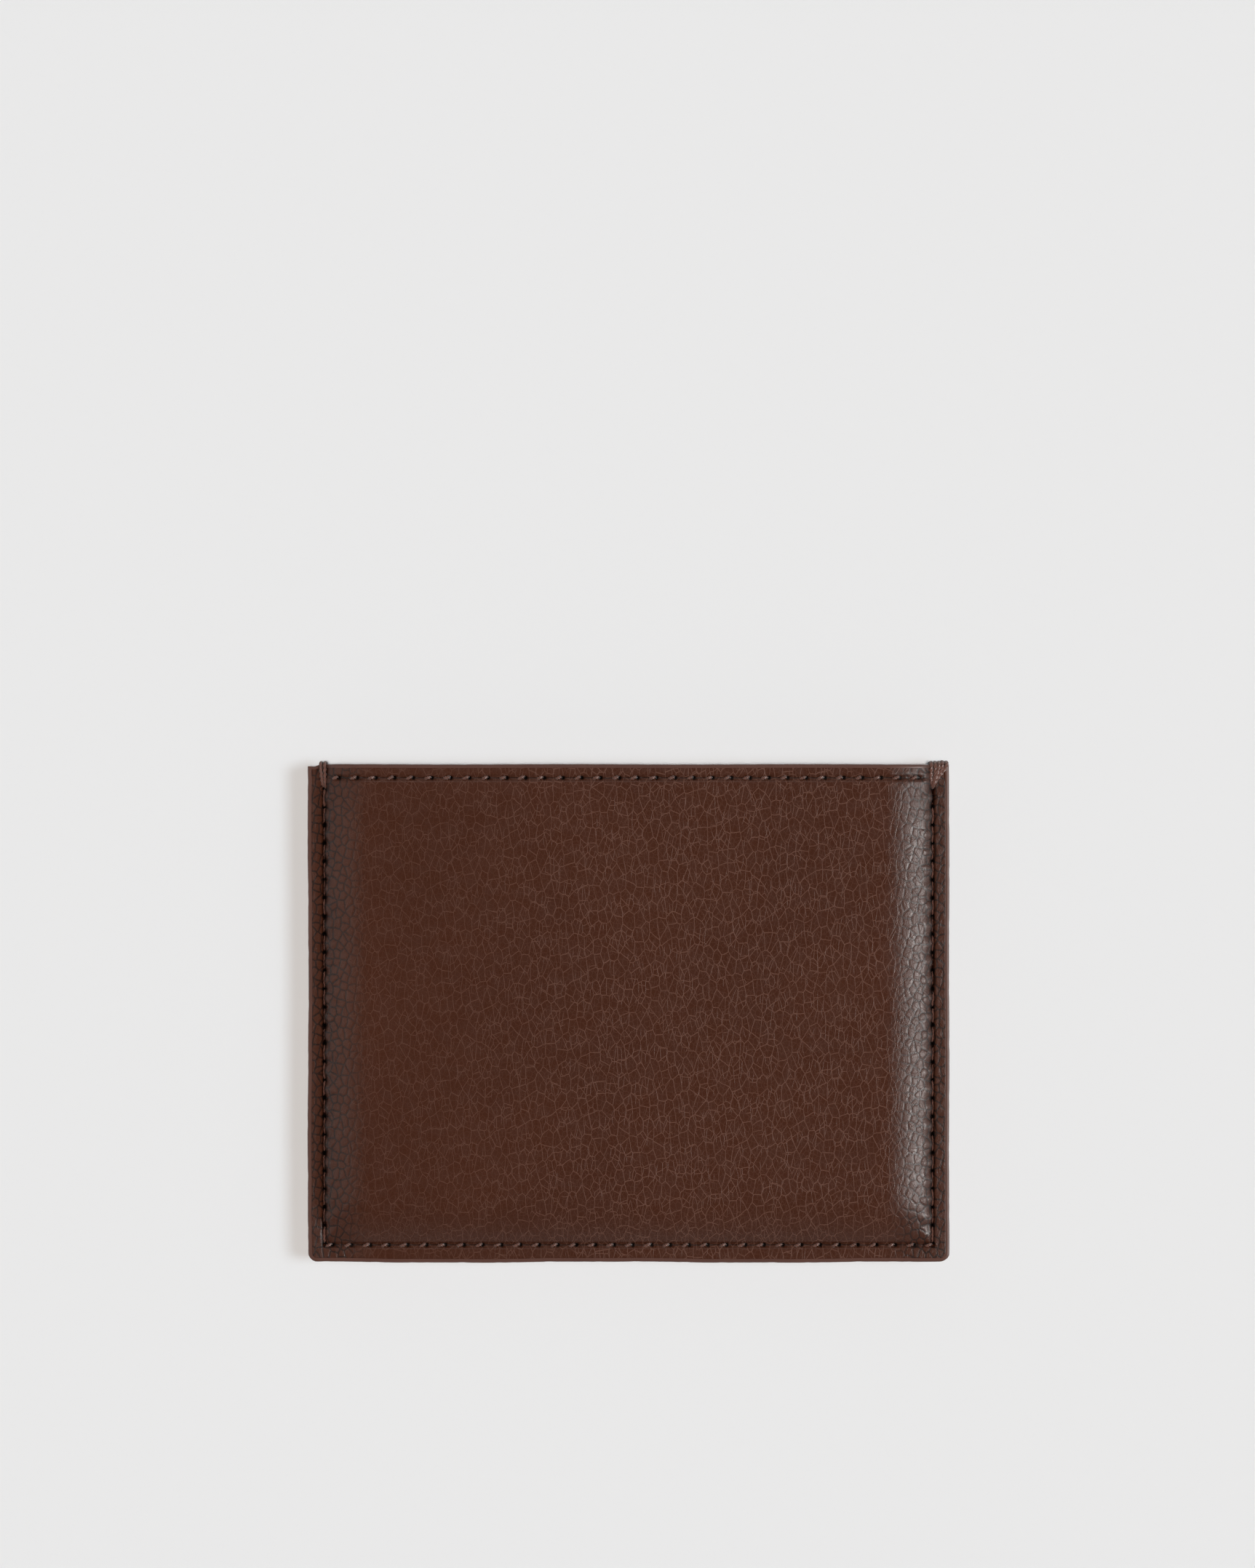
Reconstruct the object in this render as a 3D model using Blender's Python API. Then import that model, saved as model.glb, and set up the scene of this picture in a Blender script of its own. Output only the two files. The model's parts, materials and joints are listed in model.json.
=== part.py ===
"""A flat leather card and note wallet, open at the top, lying on its card-slot side.

+Z is up through the plain back panel, +Y points out of the mouth and +X is to the right.
The origin is on the resting surface, under the middle of the wallet.
Each leather or lining sheet is a layer. All layers are pressed together along the seam
on three sides, and spread apart over the field inside it to leave the pockets.
"""

import math

import bmesh
import bpy
from mathutils import Vector

MM = 0.001

# Outline of the sewn body
WIDTH = 102.0 * MM
HEIGHT = 79.3 * MM  # bottom edge to mouth edge
CORNER = 1.5 * MM  # radius of the two bottom corners

# Sheets
BACK_LEATHER = 1.1 * MM
FRONT_LEATHER = 0.9 * MM
SLOT_LEATHER = 0.8 * MM
LINING = 0.3 * MM
GLUE_GAP = 0.1 * MM  # between two sheets where they are pressed together
FRONT_BULGE = 2.2 * MM  # height of the seam's underside above the resting surface

# Cards (the common bank card) and notes
CARD_HEIGHT = 54.0 * MM
CARD_THICKNESS = 0.76 * MM
CARD_EASE = 0.14 * MM  # play through the thickness of a card in its slot
CARD_SHOWS = 13.0 * MM  # how far a card stands out of its slot
SLOT_STEP = 14.0 * MM  # one slot's mouth to the next one's
NOTE_GAP = 4.3 * MM  # height of the note pocket over the field

# Seam
SIDE_MARGIN = 2.75 * MM  # outer edge to the row of stitches
BOTTOM_MARGIN = 2.9 * MM
MOUTH_MARGIN = 2.2 * MM
SEAM_GRIP = 0.6 * MM  # the layers stay pressed together this far inside the row
SIDE_RAMP = 9.0 * MM  # from there to the full swell
BOTTOM_RAMP = 6.0 * MM
RAMP_POWER = 2.4  # above 1, the sheets rise steeply at the seam and level off
THREAD = 0.55 * MM
THREAD_PLAY = 0.1 * MM  # on each side of a thread in its groove
THREAD_CLEAR = 0.05 * MM  # under it
GROOVE_LIP = 0.17 * MM  # slope on each side of the groove
GROOVE_DEPTH = 0.5 * MM

# Fillers beside the upper slot's pocket, and that pocket's own shape
FILLER = 5.1 * MM
FILLER_GAP = 0.3 * MM
SHOULDER_LAP = 2.0 * MM  # its full width reaches this far under the lower slot's mouth
POCKET_MARGIN = 2.5 * MM  # below the row that closes the upper slot

# Painted edges
PAINT = 0.5 * MM
PAINT_GAP = 0.1 * MM

# Tacks: threads that bind the two mouth edges at each end of the seam
TACK_REACH = 3.5 * MM  # mouth edge to the tack's holes
TACK_SPACE = 0.15 * MM  # between two strands
TACK_GAP = 0.1 * MM  # between a strand and what it wraps over
TACKS = {"left": 2, "right": 3}

ARC_STEPS = 4  # straight runs in a quarter circle

# Worked out
TACK_PROUD = THREAD + TACK_GAP  # how far the tacks stand past the mouth edge
BOTTOM = -(HEIGHT + TACK_PROUD) / 2
MOUTH = BOTTOM + HEIGHT
GROOVE = THREAD + 2 * THREAD_PLAY
SEAM_X = WIDTH / 2 - SIDE_MARGIN
SEAM_Y = BOTTOM + BOTTOM_MARGIN
MOUTH_ROW = MOUTH - MOUTH_MARGIN
EDGE_INSET = PAINT + PAINT_GAP
SHEET_X = WIDTH / 2 - EDGE_INSET
SHEET_BOTTOM = BOTTOM + EDGE_INSET
SHEET_CORNER = CORNER - EDGE_INSET
CARD_REST = SHEET_BOTTOM + FILLER
LOWER_MOUTH = CARD_REST + CARD_HEIGHT - CARD_SHOWS
UPPER_MOUTH = LOWER_MOUTH + SLOT_STEP
SHOULDER = LOWER_MOUTH - SHOULDER_LAP
POCKET_ROW = CARD_REST + SLOT_STEP
POCKET_X = SHEET_X - FILLER - FILLER_GAP
CARD_GAP = CARD_THICKNESS + CARD_EASE
TACK_STEP = THREAD + TACK_SPACE

LEATHER = (0.070, 0.027, 0.018)
LEATHER_DARK = (0.045, 0.020, 0.015)
LINING_BROWN = (0.060, 0.034, 0.025)
THREAD_BROWN = (0.080, 0.036, 0.028)
PAINT_BROWN = (0.100, 0.052, 0.042)


def stacked():
    """(underside at the seam, underside over the field, thickness) of each layer, front to back."""
    seam = FRONT_BULGE
    field = 0.0
    heights = {}
    for name, thickness, space_above in (
        ("lower_slot", SLOT_LEATHER, CARD_GAP),
        ("upper_slot", SLOT_LEATHER, CARD_GAP),
        ("front", FRONT_LEATHER, GLUE_GAP),
        ("front_lining", LINING, NOTE_GAP),
        ("back_lining", LINING, GLUE_GAP),
        ("back", BACK_LEATHER, GLUE_GAP),
    ):
        heights[name] = (seam, field, thickness)
        seam += thickness + GLUE_GAP
        field += thickness + space_above
    return heights


LAYERS = stacked()


def ease(t):
    return 1 - (1 - min(max(t, 0.0), 1.0)) ** RAMP_POWER


def swell(x, y):
    """0 where the seam presses the layers together, 1 over the flat field."""
    across = (SEAM_X - SEAM_GRIP - abs(x)) / SIDE_RAMP
    along = (y - SEAM_Y - SEAM_GRIP) / BOTTOM_RAMP
    return ease(across) * ease(along)


def underside(layer, x, y):
    seam, field, _ = LAYERS[layer]
    return seam + (field - seam) * swell(x, y)


def topside(layer, x, y):
    return underside(layer, x, y) + LAYERS[layer][2]


def coat(obj, name, colour, roughness):
    material = bpy.data.materials.new(name)
    material.use_nodes = True
    shader = material.node_tree.nodes["Principled BSDF"]
    shader.inputs["Base Color"].default_value = (*colour, 1.0)
    shader.inputs["Roughness"].default_value = roughness
    shader.inputs["Metallic"].default_value = 0.0
    obj.data.materials.append(material)


def new_object(name, bm, colour, roughness):
    bmesh.ops.recalc_face_normals(bm, faces=bm.faces)
    mesh = bpy.data.meshes.new(name)
    bm.to_mesh(mesh)
    bm.free()
    obj = bpy.data.objects.new(name, mesh)
    bpy.context.scene.collection.objects.link(obj)
    coat(obj, name, colour, roughness)
    return obj


def groove_lines(at):
    """The four grid lines of a groove whose middle is at this place."""
    floor = GROOVE / 2
    lip = floor + GROOVE_LIP
    return [at - lip, at - floor, at + floor, at + lip]


def ramp_lines(start, length):
    return [start + length * share for share in (0.0, 0.1, 0.25, 0.5, 1.0)]


def clipped(lines, low, high):
    """Grid lines strictly inside a sheet, with its two edges."""
    least = 0.05 * MM
    inside = sorted(line for line in lines if low + least < line < high - least)
    return [low, *inside, high]


def lines_across(low=-SHEET_X, high=SHEET_X, grooves=True):
    half = [SHEET_X - SHEET_CORNER, SHEET_X - SHEET_CORNER / 2]
    half += ramp_lines(SEAM_X - SEAM_GRIP, -SIDE_RAMP)
    half += groove_lines(SEAM_X) if grooves else []
    return clipped([-x for x in half] + half, low, high)


def lines_along(low, high, rows=()):
    lines = [SHEET_BOTTOM + SHEET_CORNER / 2, SHEET_BOTTOM + SHEET_CORNER]
    lines += ramp_lines(SEAM_Y + SEAM_GRIP, BOTTOM_RAMP)
    for row in rows:
        lines += groove_lines(row)
    return clipped(lines, low, high)


def seam_depth(x, y):
    """How deep the seam's groove is at a grid point: full on its floor, nothing on its lips."""
    floor = GROOVE / 2 + THREAD_CLEAR
    beside = abs(abs(x) - SEAM_X) < floor and y > SEAM_Y - floor
    below = abs(y - SEAM_Y) < floor and abs(x) < SEAM_X + floor
    return GROOVE_DEPTH if beside or below else 0.0


def side_depth(x):
    return GROOVE_DEPTH if abs(abs(x) - SEAM_X) < GROOVE / 2 + THREAD_CLEAR else 0.0


def mouth_depth(x, y):
    floor = GROOVE / 2 + THREAD_CLEAR
    between = abs(x) < SEAM_X + floor
    return GROOVE_DEPTH if abs(y - MOUTH_ROW) < floor and between else 0.0


def rounded(x, y):
    """Moves a grid point near a bottom corner in, so that the corner is round."""
    r = SHEET_CORNER
    across = (abs(x) - (SHEET_X - r)) / r
    down = (SHEET_BOTTOM + r - y) / r
    if across <= 0 or down <= 0:
        return x, y
    reach = max(across, down) / math.hypot(across, down)
    new_x = SHEET_X - r + r * across * reach
    new_y = SHEET_BOTTOM + r - r * down * reach
    return math.copysign(new_x, x), new_y


def sheet(name, xs, ys, low, high, colour, roughness, keep=None):
    """A closed sheet on grid lines xs and ys, between the heights low(x, y) and high(x, y)."""
    bm = bmesh.new()
    bmesh.ops.create_grid(bm, x_segments=len(xs) - 1, y_segments=len(ys) - 1, size=0.5)
    for vert in bm.verts:
        column = round((vert.co.x + 0.5) * (len(xs) - 1))
        row = round((vert.co.y + 0.5) * (len(ys) - 1))
        vert.co = Vector((xs[column], ys[row], 0.0))
    if keep:
        cut = [f for f in bm.faces if not keep(*f.calc_center_median().xy)]
        bmesh.ops.delete(bm, geom=cut, context="FACES")
    raised = bmesh.ops.extrude_face_region(bm, geom=bm.faces[:])["geom"]
    upper = {item for item in raised if isinstance(item, bmesh.types.BMVert)}
    for vert in bm.verts:
        x, y = vert.co.xy
        height = high(x, y) if vert in upper else low(x, y)
        vert.co = Vector((*rounded(x, y), height))
    return new_object(name, bm, colour, roughness)


def loft(name, rings, colour, roughness):
    """A closed bar through cross-sections, each a ring of as many points."""
    bm = bmesh.new()
    loops = [[bm.verts.new(point) for point in ring] for ring in rings]
    count = len(loops[0])
    for ring, after in zip(loops, loops[1:]):
        for i in range(count):
            j = (i + 1) % count
            bm.faces.new((ring[i], ring[j], after[j], after[i]))
    bm.faces.new(loops[0])
    bm.faces.new(reversed(loops[-1]))
    return new_object(name, bm, colour, roughness)


def thread(name, points):
    """A row's thread: a tube along points, with closed ends."""
    curve = bpy.data.curves.new(name, "CURVE")
    curve.dimensions = "3D"
    spline = curve.splines.new("POLY")
    spline.points.add(len(points) - 1)
    for point, place in zip(spline.points, points):
        point.co = (*place, 1.0)
    curve.bevel_depth = THREAD / 2
    curve.bevel_resolution = 1
    curve.use_fill_caps = True
    obj = bpy.data.objects.new(name, curve)
    bpy.context.scene.collection.objects.link(obj)
    coat(obj, name, THREAD_BROWN, 0.55)
    return obj


def clear_scene():
    for obj in list(bpy.data.objects):
        bpy.data.objects.remove(obj)


def make_back():
    """The plain outer back and the lining of the note pocket behind it."""
    ys = lines_along(SHEET_BOTTOM, MOUTH - EDGE_INSET, (SEAM_Y, MOUTH_ROW))

    def face(x, y):
        return topside("back", x, y) - max(seam_depth(x, y), mouth_depth(x, y))

    def under(x, y):
        return underside("back", x, y)

    sheet("back_panel", lines_across(), ys, under, face, LEATHER, 0.5)
    plain = lines_along(SHEET_BOTTOM, MOUTH - EDGE_INSET)
    xs = lines_across(grooves=False)
    make_lining("back_lining", xs, plain)
    make_lining("front_lining", xs, plain)


def make_lining(layer, xs, ys):
    def high(x, y):
        return topside(layer, x, y)

    def low(x, y):
        return underside(layer, x, y)

    sheet(layer, xs, ys, low, high, LINING_BROWN, 0.8)


def make_front_panel():
    """The outer wall of the note pocket. The card slots are sewn over it."""
    ys = lines_along(SHEET_BOTTOM, MOUTH - EDGE_INSET, (MOUTH_ROW,))

    def high(x, y):
        return topside("front", x, y)

    def low(x, y):
        return underside("front", x, y) + max(side_depth(x), mouth_depth(x, y))

    sheet("front_panel", lines_across(), ys, low, high, LEATHER, 0.5)


def make_slots():
    """The two card slots: the upper one is a T, full width only along its mouth."""

    def on_upper(x, y):
        return abs(x) < POCKET_X or y > SHOULDER

    def high_upper(x, y):
        return topside("upper_slot", x, y)

    def low_upper(x, y):
        return underside("upper_slot", x, y) + side_depth(x)

    xs = sorted([*lines_across(), -POCKET_X, POCKET_X])
    pocket_end = POCKET_ROW - POCKET_MARGIN
    ys = lines_along(pocket_end, UPPER_MOUTH - PAINT_GAP)
    ys = sorted([*ys, SHOULDER])
    sheet("upper_slot_panel", xs, ys, low_upper, high_upper, LEATHER, 0.5, on_upper)

    def high_lower(x, y):
        return topside("lower_slot", x, y)

    def low_lower(x, y):
        return underside("lower_slot", x, y) + seam_depth(x, y)

    ys = lines_along(SHEET_BOTTOM, LOWER_MOUTH - PAINT_GAP, (SEAM_Y,))
    sheet("lower_slot_panel", lines_across(), ys, low_lower, high_lower, LEATHER, 0.5)


def make_fillers():
    """Leather strips that fill the seam beside and below the upper slot's pocket."""

    def high(x, y):
        return topside("upper_slot", x, y)

    def low(x, y):
        return underside("upper_slot", x, y)

    top = SHOULDER - FILLER_GAP
    inner = SHEET_X - FILLER
    side_ys = lines_along(CARD_REST + FILLER_GAP, top)
    for name, left, right in (("left", -SHEET_X, -inner), ("right", inner, SHEET_X)):
        xs = lines_across(left, right, grooves=False)
        sheet(f"filler_{name}", xs, side_ys, low, high, LEATHER_DARK, 0.7)
    xs = lines_across(grooves=False)
    ys = lines_along(SHEET_BOTTOM, CARD_REST)
    sheet("filler_bottom", xs, ys, low, high, LEATHER_DARK, 0.7)


def edge_strip(name, y, layers, half):
    """The painted edge along a mouth, over the cut edges of these layers."""
    first, last = layers[0], layers[-1]
    xs = clipped(lines_across(grooves=False), -half, half)
    rings = []
    for x in xs:
        low = underside(first, x, y)
        high = topside(last, x, y)
        back = y - PAINT
        rings.append([(x, back, low), (x, y, low), (x, y, high), (x, back, high)])
    loft(name, rings, PAINT_BROWN, 0.35)


def edge_path():
    """(x, y, outward, outermost layer) down the left side, round the bottom and up the right."""
    right = []
    for i in range(ARC_STEPS + 1):
        angle = -math.pi / 2 * (1 - i / ARC_STEPS)
        out = Vector((math.cos(angle), math.sin(angle)))
        x = WIDTH / 2 - CORNER + CORNER * out.x
        y = BOTTOM + CORNER + CORNER * out.y
        right.append((x, y, out, "lower_slot"))
    step = 0.2 * MM
    for y, layer in (
        (LOWER_MOUTH - step, "lower_slot"),
        (LOWER_MOUTH, "upper_slot"),
        (UPPER_MOUTH - step, "upper_slot"),
        (UPPER_MOUTH, "front"),
        (MOUTH, "front"),
    ):
        right.append((WIDTH / 2, y, Vector((1.0, 0.0)), layer))
    left = [(-x, y, Vector((-out.x, out.y)), layer) for x, y, out, layer in reversed(right)]
    return left + right


def make_edges():
    """The painted edges: one coat round the seam, and one along each mouth."""
    top = topside("back", SHEET_X, MOUTH)
    rings = []
    for x, y, out, layer in edge_path():
        low = LAYERS[layer][0]
        inner = Vector((x, y)) - PAINT * out
        rings.append([(x, y, low), (x, y, top), (*inner, top), (*inner, low)])
    loft("edge_paint_seam", rings, PAINT_BROWN, 0.35)
    between = WIDTH / 2 - EDGE_INSET
    edge_strip("edge_paint_back_mouth", MOUTH, ("back_lining", "back"), between)
    edge_strip("edge_paint_front_mouth", MOUTH, ("front", "front_lining"), between)
    inside = SEAM_X - GROOVE / 2 - GROOVE_LIP
    edge_strip("edge_paint_upper_slot", UPPER_MOUTH + PAINT, ("upper_slot",), inside)
    edge_strip("edge_paint_lower_slot", LOWER_MOUTH + PAINT, ("lower_slot",), inside)


def corner_arc(centre_x, centre_y, radius, start, end):
    for i in range(ARC_STEPS + 1):
        angle = start + (end - start) * i / ARC_STEPS
        yield centre_x + radius * math.cos(angle), centre_y + radius * math.sin(angle)


def seam_route(end):
    """The seam in plan: down the left side, along the bottom and up the right side."""
    r = 0.3 * MM
    x, y = SEAM_X - r, SEAM_Y + r
    yield -SEAM_X, end
    yield from corner_arc(-x, y, r, math.pi, 1.5 * math.pi)
    yield from corner_arc(x, y, r, 1.5 * math.pi, 2 * math.pi)
    yield SEAM_X, end


def tack_place(i):
    """How far from the middle strand i is: the first one is outside the seam's row."""
    return SEAM_X + (1 - i) * TACK_STEP


def make_threads():
    """The rows of stitches. Each row's thread is one tube sunk in its groove."""
    sunk = THREAD / 2 + THREAD_CLEAR
    seam_end = MOUTH - TACK_REACH - THREAD
    top = topside("back", SEAM_X, SEAM_Y) - GROOVE_DEPTH + sunk
    thread("seam_thread_back", [(x, y, top) for x, y in seam_route(seam_end)])

    floor = {name: LAYERS[name][0] + GROOVE_DEPTH - sunk for name in LAYERS}
    climb = 1.0 * MM
    past = PAINT_GAP + THREAD
    stations = [
        (seam_end, floor["front"]),
        (UPPER_MOUTH + past + climb, floor["front"]),
        (UPPER_MOUTH + past, floor["upper_slot"]),
        (LOWER_MOUTH + past + climb, floor["upper_slot"]),
        (LOWER_MOUTH + past, floor["lower_slot"]),
    ]
    route = list(seam_route(seam_end))[1:-1]
    down = [(-SEAM_X, y, z) for y, z in stations]
    up = [(SEAM_X, y, z) for y, z in reversed(stations)]
    under = [(x, y, floor["lower_slot"]) for x, y in route]
    thread("seam_thread_front", down + under + up)

    end = tack_place(max(TACKS.values()) - 1) - THREAD - TACK_SPACE
    xs = clipped(lines_across(grooves=False), -end, end)
    back = [(x, MOUTH_ROW, topside("back", x, MOUTH_ROW) - GROOVE_DEPTH + sunk) for x in xs]
    thread("back_mouth_thread", back)
    front = [(x, MOUTH_ROW, underside("front", x, MOUTH_ROW) + GROOVE_DEPTH - sunk) for x in xs]
    thread("front_mouth_thread", front)

    end = POCKET_X - POCKET_MARGIN
    on = THREAD / 2 + THREAD_CLEAR
    xs = clipped(lines_across(grooves=False), -end, end)
    row = [(x, POCKET_ROW, underside("upper_slot", x, POCKET_ROW) - on) for x in xs]
    thread("upper_slot_thread", row)


def make_tacks():
    """Threads over the mouth edges at the ends of the seam, from back face to front face."""
    off = THREAD / 2 + TACK_GAP
    out = MOUTH + TACK_PROUD - THREAD / 2
    start = MOUTH - TACK_REACH
    bend = 0.2 * MM
    for side, sign in (("left", -1), ("right", 1)):
        for i in range(TACKS[side]):
            x = sign * tack_place(i)
            top = topside("back", x, MOUTH) + off
            low = underside("front", x, MOUTH) - off
            route = [
                (x, start, top),
                (x, out - bend, top),
                (x, out, top - bend),
                (x, out, low + bend),
                (x, out - bend, low),
                (x, start, low),
            ]
            thread(f"tack_{side}_{i + 1}", route)


clear_scene()
make_back()
make_front_panel()
make_slots()
make_fillers()
make_edges()
make_threads()
make_tacks()
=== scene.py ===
# %% [markdown]
# # A flat leather wallet, sewn on three sides
# The wallet lies on its card slots with its plain back up. +Z is up through the back, +Y points out of the
# mouth. Every sheet, row of stitches and painted edge of the real thing is its own piece here, and each one
# takes its place from the CAD frame, so nothing is fitted by eye afterwards.

# %% Load the frame
import json
import math

import bpy
import numpy as np
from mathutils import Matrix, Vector

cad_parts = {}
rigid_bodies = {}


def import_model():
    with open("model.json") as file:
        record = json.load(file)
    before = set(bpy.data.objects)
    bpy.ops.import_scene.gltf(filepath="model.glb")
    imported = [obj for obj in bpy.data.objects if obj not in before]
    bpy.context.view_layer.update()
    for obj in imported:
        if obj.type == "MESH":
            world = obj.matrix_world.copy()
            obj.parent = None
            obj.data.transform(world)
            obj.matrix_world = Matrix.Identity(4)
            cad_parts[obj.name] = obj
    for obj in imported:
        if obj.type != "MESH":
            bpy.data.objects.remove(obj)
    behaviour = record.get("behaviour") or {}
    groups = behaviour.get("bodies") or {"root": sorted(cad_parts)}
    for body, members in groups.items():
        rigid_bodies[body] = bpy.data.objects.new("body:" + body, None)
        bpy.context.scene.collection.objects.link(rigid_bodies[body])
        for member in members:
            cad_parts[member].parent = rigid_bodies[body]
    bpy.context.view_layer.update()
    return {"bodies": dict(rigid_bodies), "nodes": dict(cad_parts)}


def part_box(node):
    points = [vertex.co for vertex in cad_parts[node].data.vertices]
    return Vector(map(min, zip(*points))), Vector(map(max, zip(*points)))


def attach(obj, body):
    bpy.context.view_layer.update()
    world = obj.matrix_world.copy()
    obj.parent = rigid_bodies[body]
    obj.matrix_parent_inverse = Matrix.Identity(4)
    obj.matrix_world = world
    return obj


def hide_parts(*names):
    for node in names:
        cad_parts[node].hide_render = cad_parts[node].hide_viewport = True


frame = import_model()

BODY = next(iter(frame["bodies"]))
MM = 0.001

# %% [markdown]
# ## The sizes that all pieces share
# The seam presses the sheets together round three sides. Inside it they rise over a short ramp to a flat
# field, which is what a bundle of cards does to a leather pouch. Places in plan come from the CAD nodes'
# boxes, the heights of the layers are listed in a table, and the ramp follows the same curve as the CAD, so
# each new sheet fills the space of its own node.

# %% Sizes and the swell of the sheets
SEAM_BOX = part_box("edge_paint_seam")
HALF_WIDTH = SEAM_BOX[1].x
BOTTOM = SEAM_BOX[0].y
MOUTH = SEAM_BOX[1].y
SHEET_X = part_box("back_panel")[1].x
SHEET_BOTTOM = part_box("back_panel")[0].y
SHEET_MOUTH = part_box("back_panel")[1].y
THREAD = 0.56 * MM
CAD_HALF_THREAD = 0.275 * MM
SEAM_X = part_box("seam_thread_back")[1].x - CAD_HALF_THREAD
SEAM_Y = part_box("seam_thread_back")[0].y + CAD_HALF_THREAD
MOUTH_ROW = (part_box("back_mouth_thread")[0].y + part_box("back_mouth_thread")[1].y) / 2
LOWER_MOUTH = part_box("lower_slot_panel")[1].y
UPPER_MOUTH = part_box("upper_slot_panel")[1].y
POCKET_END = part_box("upper_slot_panel")[0].y
SEAM_GRIP = 0.6 * MM
SIDE_RAMP = 9.0 * MM
BOTTOM_RAMP = 6.0 * MM
RAMP_POWER = 2.4
CORNER = 0.9 * MM


def ease(t):
    return 1 - (1 - np.clip(t, 0.0, 1.0)) ** RAMP_POWER


def swell(x, y):
    """0 on the seam, 1 over the flat field."""
    across = (SEAM_X - SEAM_GRIP - np.abs(x)) / SIDE_RAMP
    along = (y - SEAM_Y - SEAM_GRIP) / BOTTOM_RAMP
    return ease(across) * ease(along)


# (underside on the seam, underside over the field, thickness) of each sheet
LAYERS = {
    "lower_slot": (2.2 * MM, 0.0, 0.8 * MM),
    "upper_slot": (3.1 * MM, 1.7 * MM, 0.8 * MM),
    "front": (4.0 * MM, 3.4 * MM, 0.9 * MM),
    "front_lining": (5.0 * MM, 4.4 * MM, 0.3 * MM),
    "back_lining": (5.4 * MM, 9.0 * MM, 0.3 * MM),
    "back": (5.8 * MM, 9.4 * MM, 1.1 * MM),
}
SEAM_TOP = LAYERS["back"][0] + LAYERS["back"][2]


def underside(layer, x, y):
    seam, field, _ = LAYERS[layer]
    return seam + (field - seam) * swell(x, y)


def topside(layer, x, y):
    return underside(layer, x, y) + LAYERS[layer][2]


def skins_of(layer):
    """The underside and the topside of one layer, as functions of x and y."""
    return lambda x, y: underside(layer, x, y), lambda x, y: topside(layer, x, y)


def height_at(skin, x, y):
    """The height of skin(x, y) at one point."""
    return float(skin(np.array([x]), np.array([y]))[0])


print("seam rows at x", SEAM_X, "y", SEAM_Y, "| mouth row at y", MOUTH_ROW)

# %% [markdown]
# ## Where the needle went
# A pricking iron marks even holes before sewing, a little under 3 mm apart. The slits slant, so on the mouth
# and bottom rows a hole shows beside the middle of its stitch. Each row is kept as a list of stitches, and
# both the leather (which sinks and puckers there) and the thread read the same list, so they always meet.

# %% Stitch holes
rng = np.random.default_rng(7)
ROW_PITCH = 2.95 * MM
BOTTOM_PITCH = 3.0 * MM
SIDE_PITCH = 2.85 * MM
HOLE_BESIDE = 0.72 * MM
FRONT_HOLE_BESIDE = -0.75 * MM
ROW_DEPTH = 0.34 * MM
SIDE_DEPTH = 0.75 * MM
MOUTH_ROW_END = SEAM_X - 0.6 * MM


def holes_between(start, end, pitch):
    """Evenly pitched hole places from start to end."""
    count = max(1, round(abs(end - start) / pitch))
    return np.linspace(start, end, count + 1)


MOUTH_HOLES = holes_between(-SEAM_X + 1.7 * MM, SEAM_X - 3.05 * MM, ROW_PITCH)
BOTTOM_HOLES = holes_between(-SEAM_X + 0.6 * MM, SEAM_X - 0.6 * MM, BOTTOM_PITCH)
SIDE_HOLES = holes_between(SEAM_Y + 0.2 * MM, MOUTH - 3.9 * MM, SIDE_PITCH)
print("holes: mouth", len(MOUTH_HOLES), "bottom", len(BOTTOM_HOLES), "side", len(SIDE_HOLES))

# %% [markdown]
# ## Blanks of leather
# A sheet starts as a flat grid, as a hide is cut flat. The grid's columns and rows are gathered where the
# shape is fine (at the rim and along the rows of stitches) and spread out over the field. Extruding the grid
# once gives it its two skins, and the heights of both are then set from the same functions that the other
# sheets use. Grid lines are cheaper than a subdivided cube, and keep the holes exactly on a corner.

# %% Grid lines
CLOSEST_LINES = 0.04 * MM


def lines(low, high, step, fine=()):
    """Grid lines from low to high about step apart, with finer ones at the rim and at the places in fine."""
    places = list(np.linspace(low, high, max(2, round((high - low) / step) + 1)))
    extra = []
    for gap in (0.06, 0.14, 0.26, 0.42):
        extra += [low + gap * MM, high - gap * MM]
    extra += [value for value in fine if low < value < high]
    kept = [p for p in places if all(abs(p - e) > 0.45 * step for e in extra) or p in (low, high)]
    merged = sorted(set(kept + extra))
    result = [merged[0]]
    for value in merged[1:]:
        if value - result[-1] > CLOSEST_LINES:
            result.append(value)
    result[-1] = high
    return np.array(result)


def band(at, reach=(0.18, 0.36, 0.54, 0.75, 1.0)):
    """Fine grid lines across a row of stitches."""
    return [at] + [at + sign * r * MM for r in reach for sign in (-1, 1)]


print("lines across a row:", len(band(0.0)))


# %% Blanks
def only(obj):
    """Makes obj the one selected, active object."""
    bpy.ops.object.select_all(action="DESELECT")
    obj.select_set(True)
    bpy.context.view_layer.objects.active = obj


def coordinates(mesh):
    co = np.empty(len(mesh.vertices) * 3)
    mesh.vertices.foreach_get("co", co)
    return co.reshape(-1, 3)


def put_coordinates(mesh, co):
    mesh.vertices.foreach_set("co", co.reshape(-1))
    mesh.update()


def face_outwards():
    """Turns every face of the mesh in edit mode outwards, and leaves edit mode."""
    bpy.ops.mesh.select_all(action="SELECT")
    bpy.ops.mesh.normals_make_consistent(inside=False)
    bpy.ops.object.mode_set(mode="OBJECT")


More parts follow.
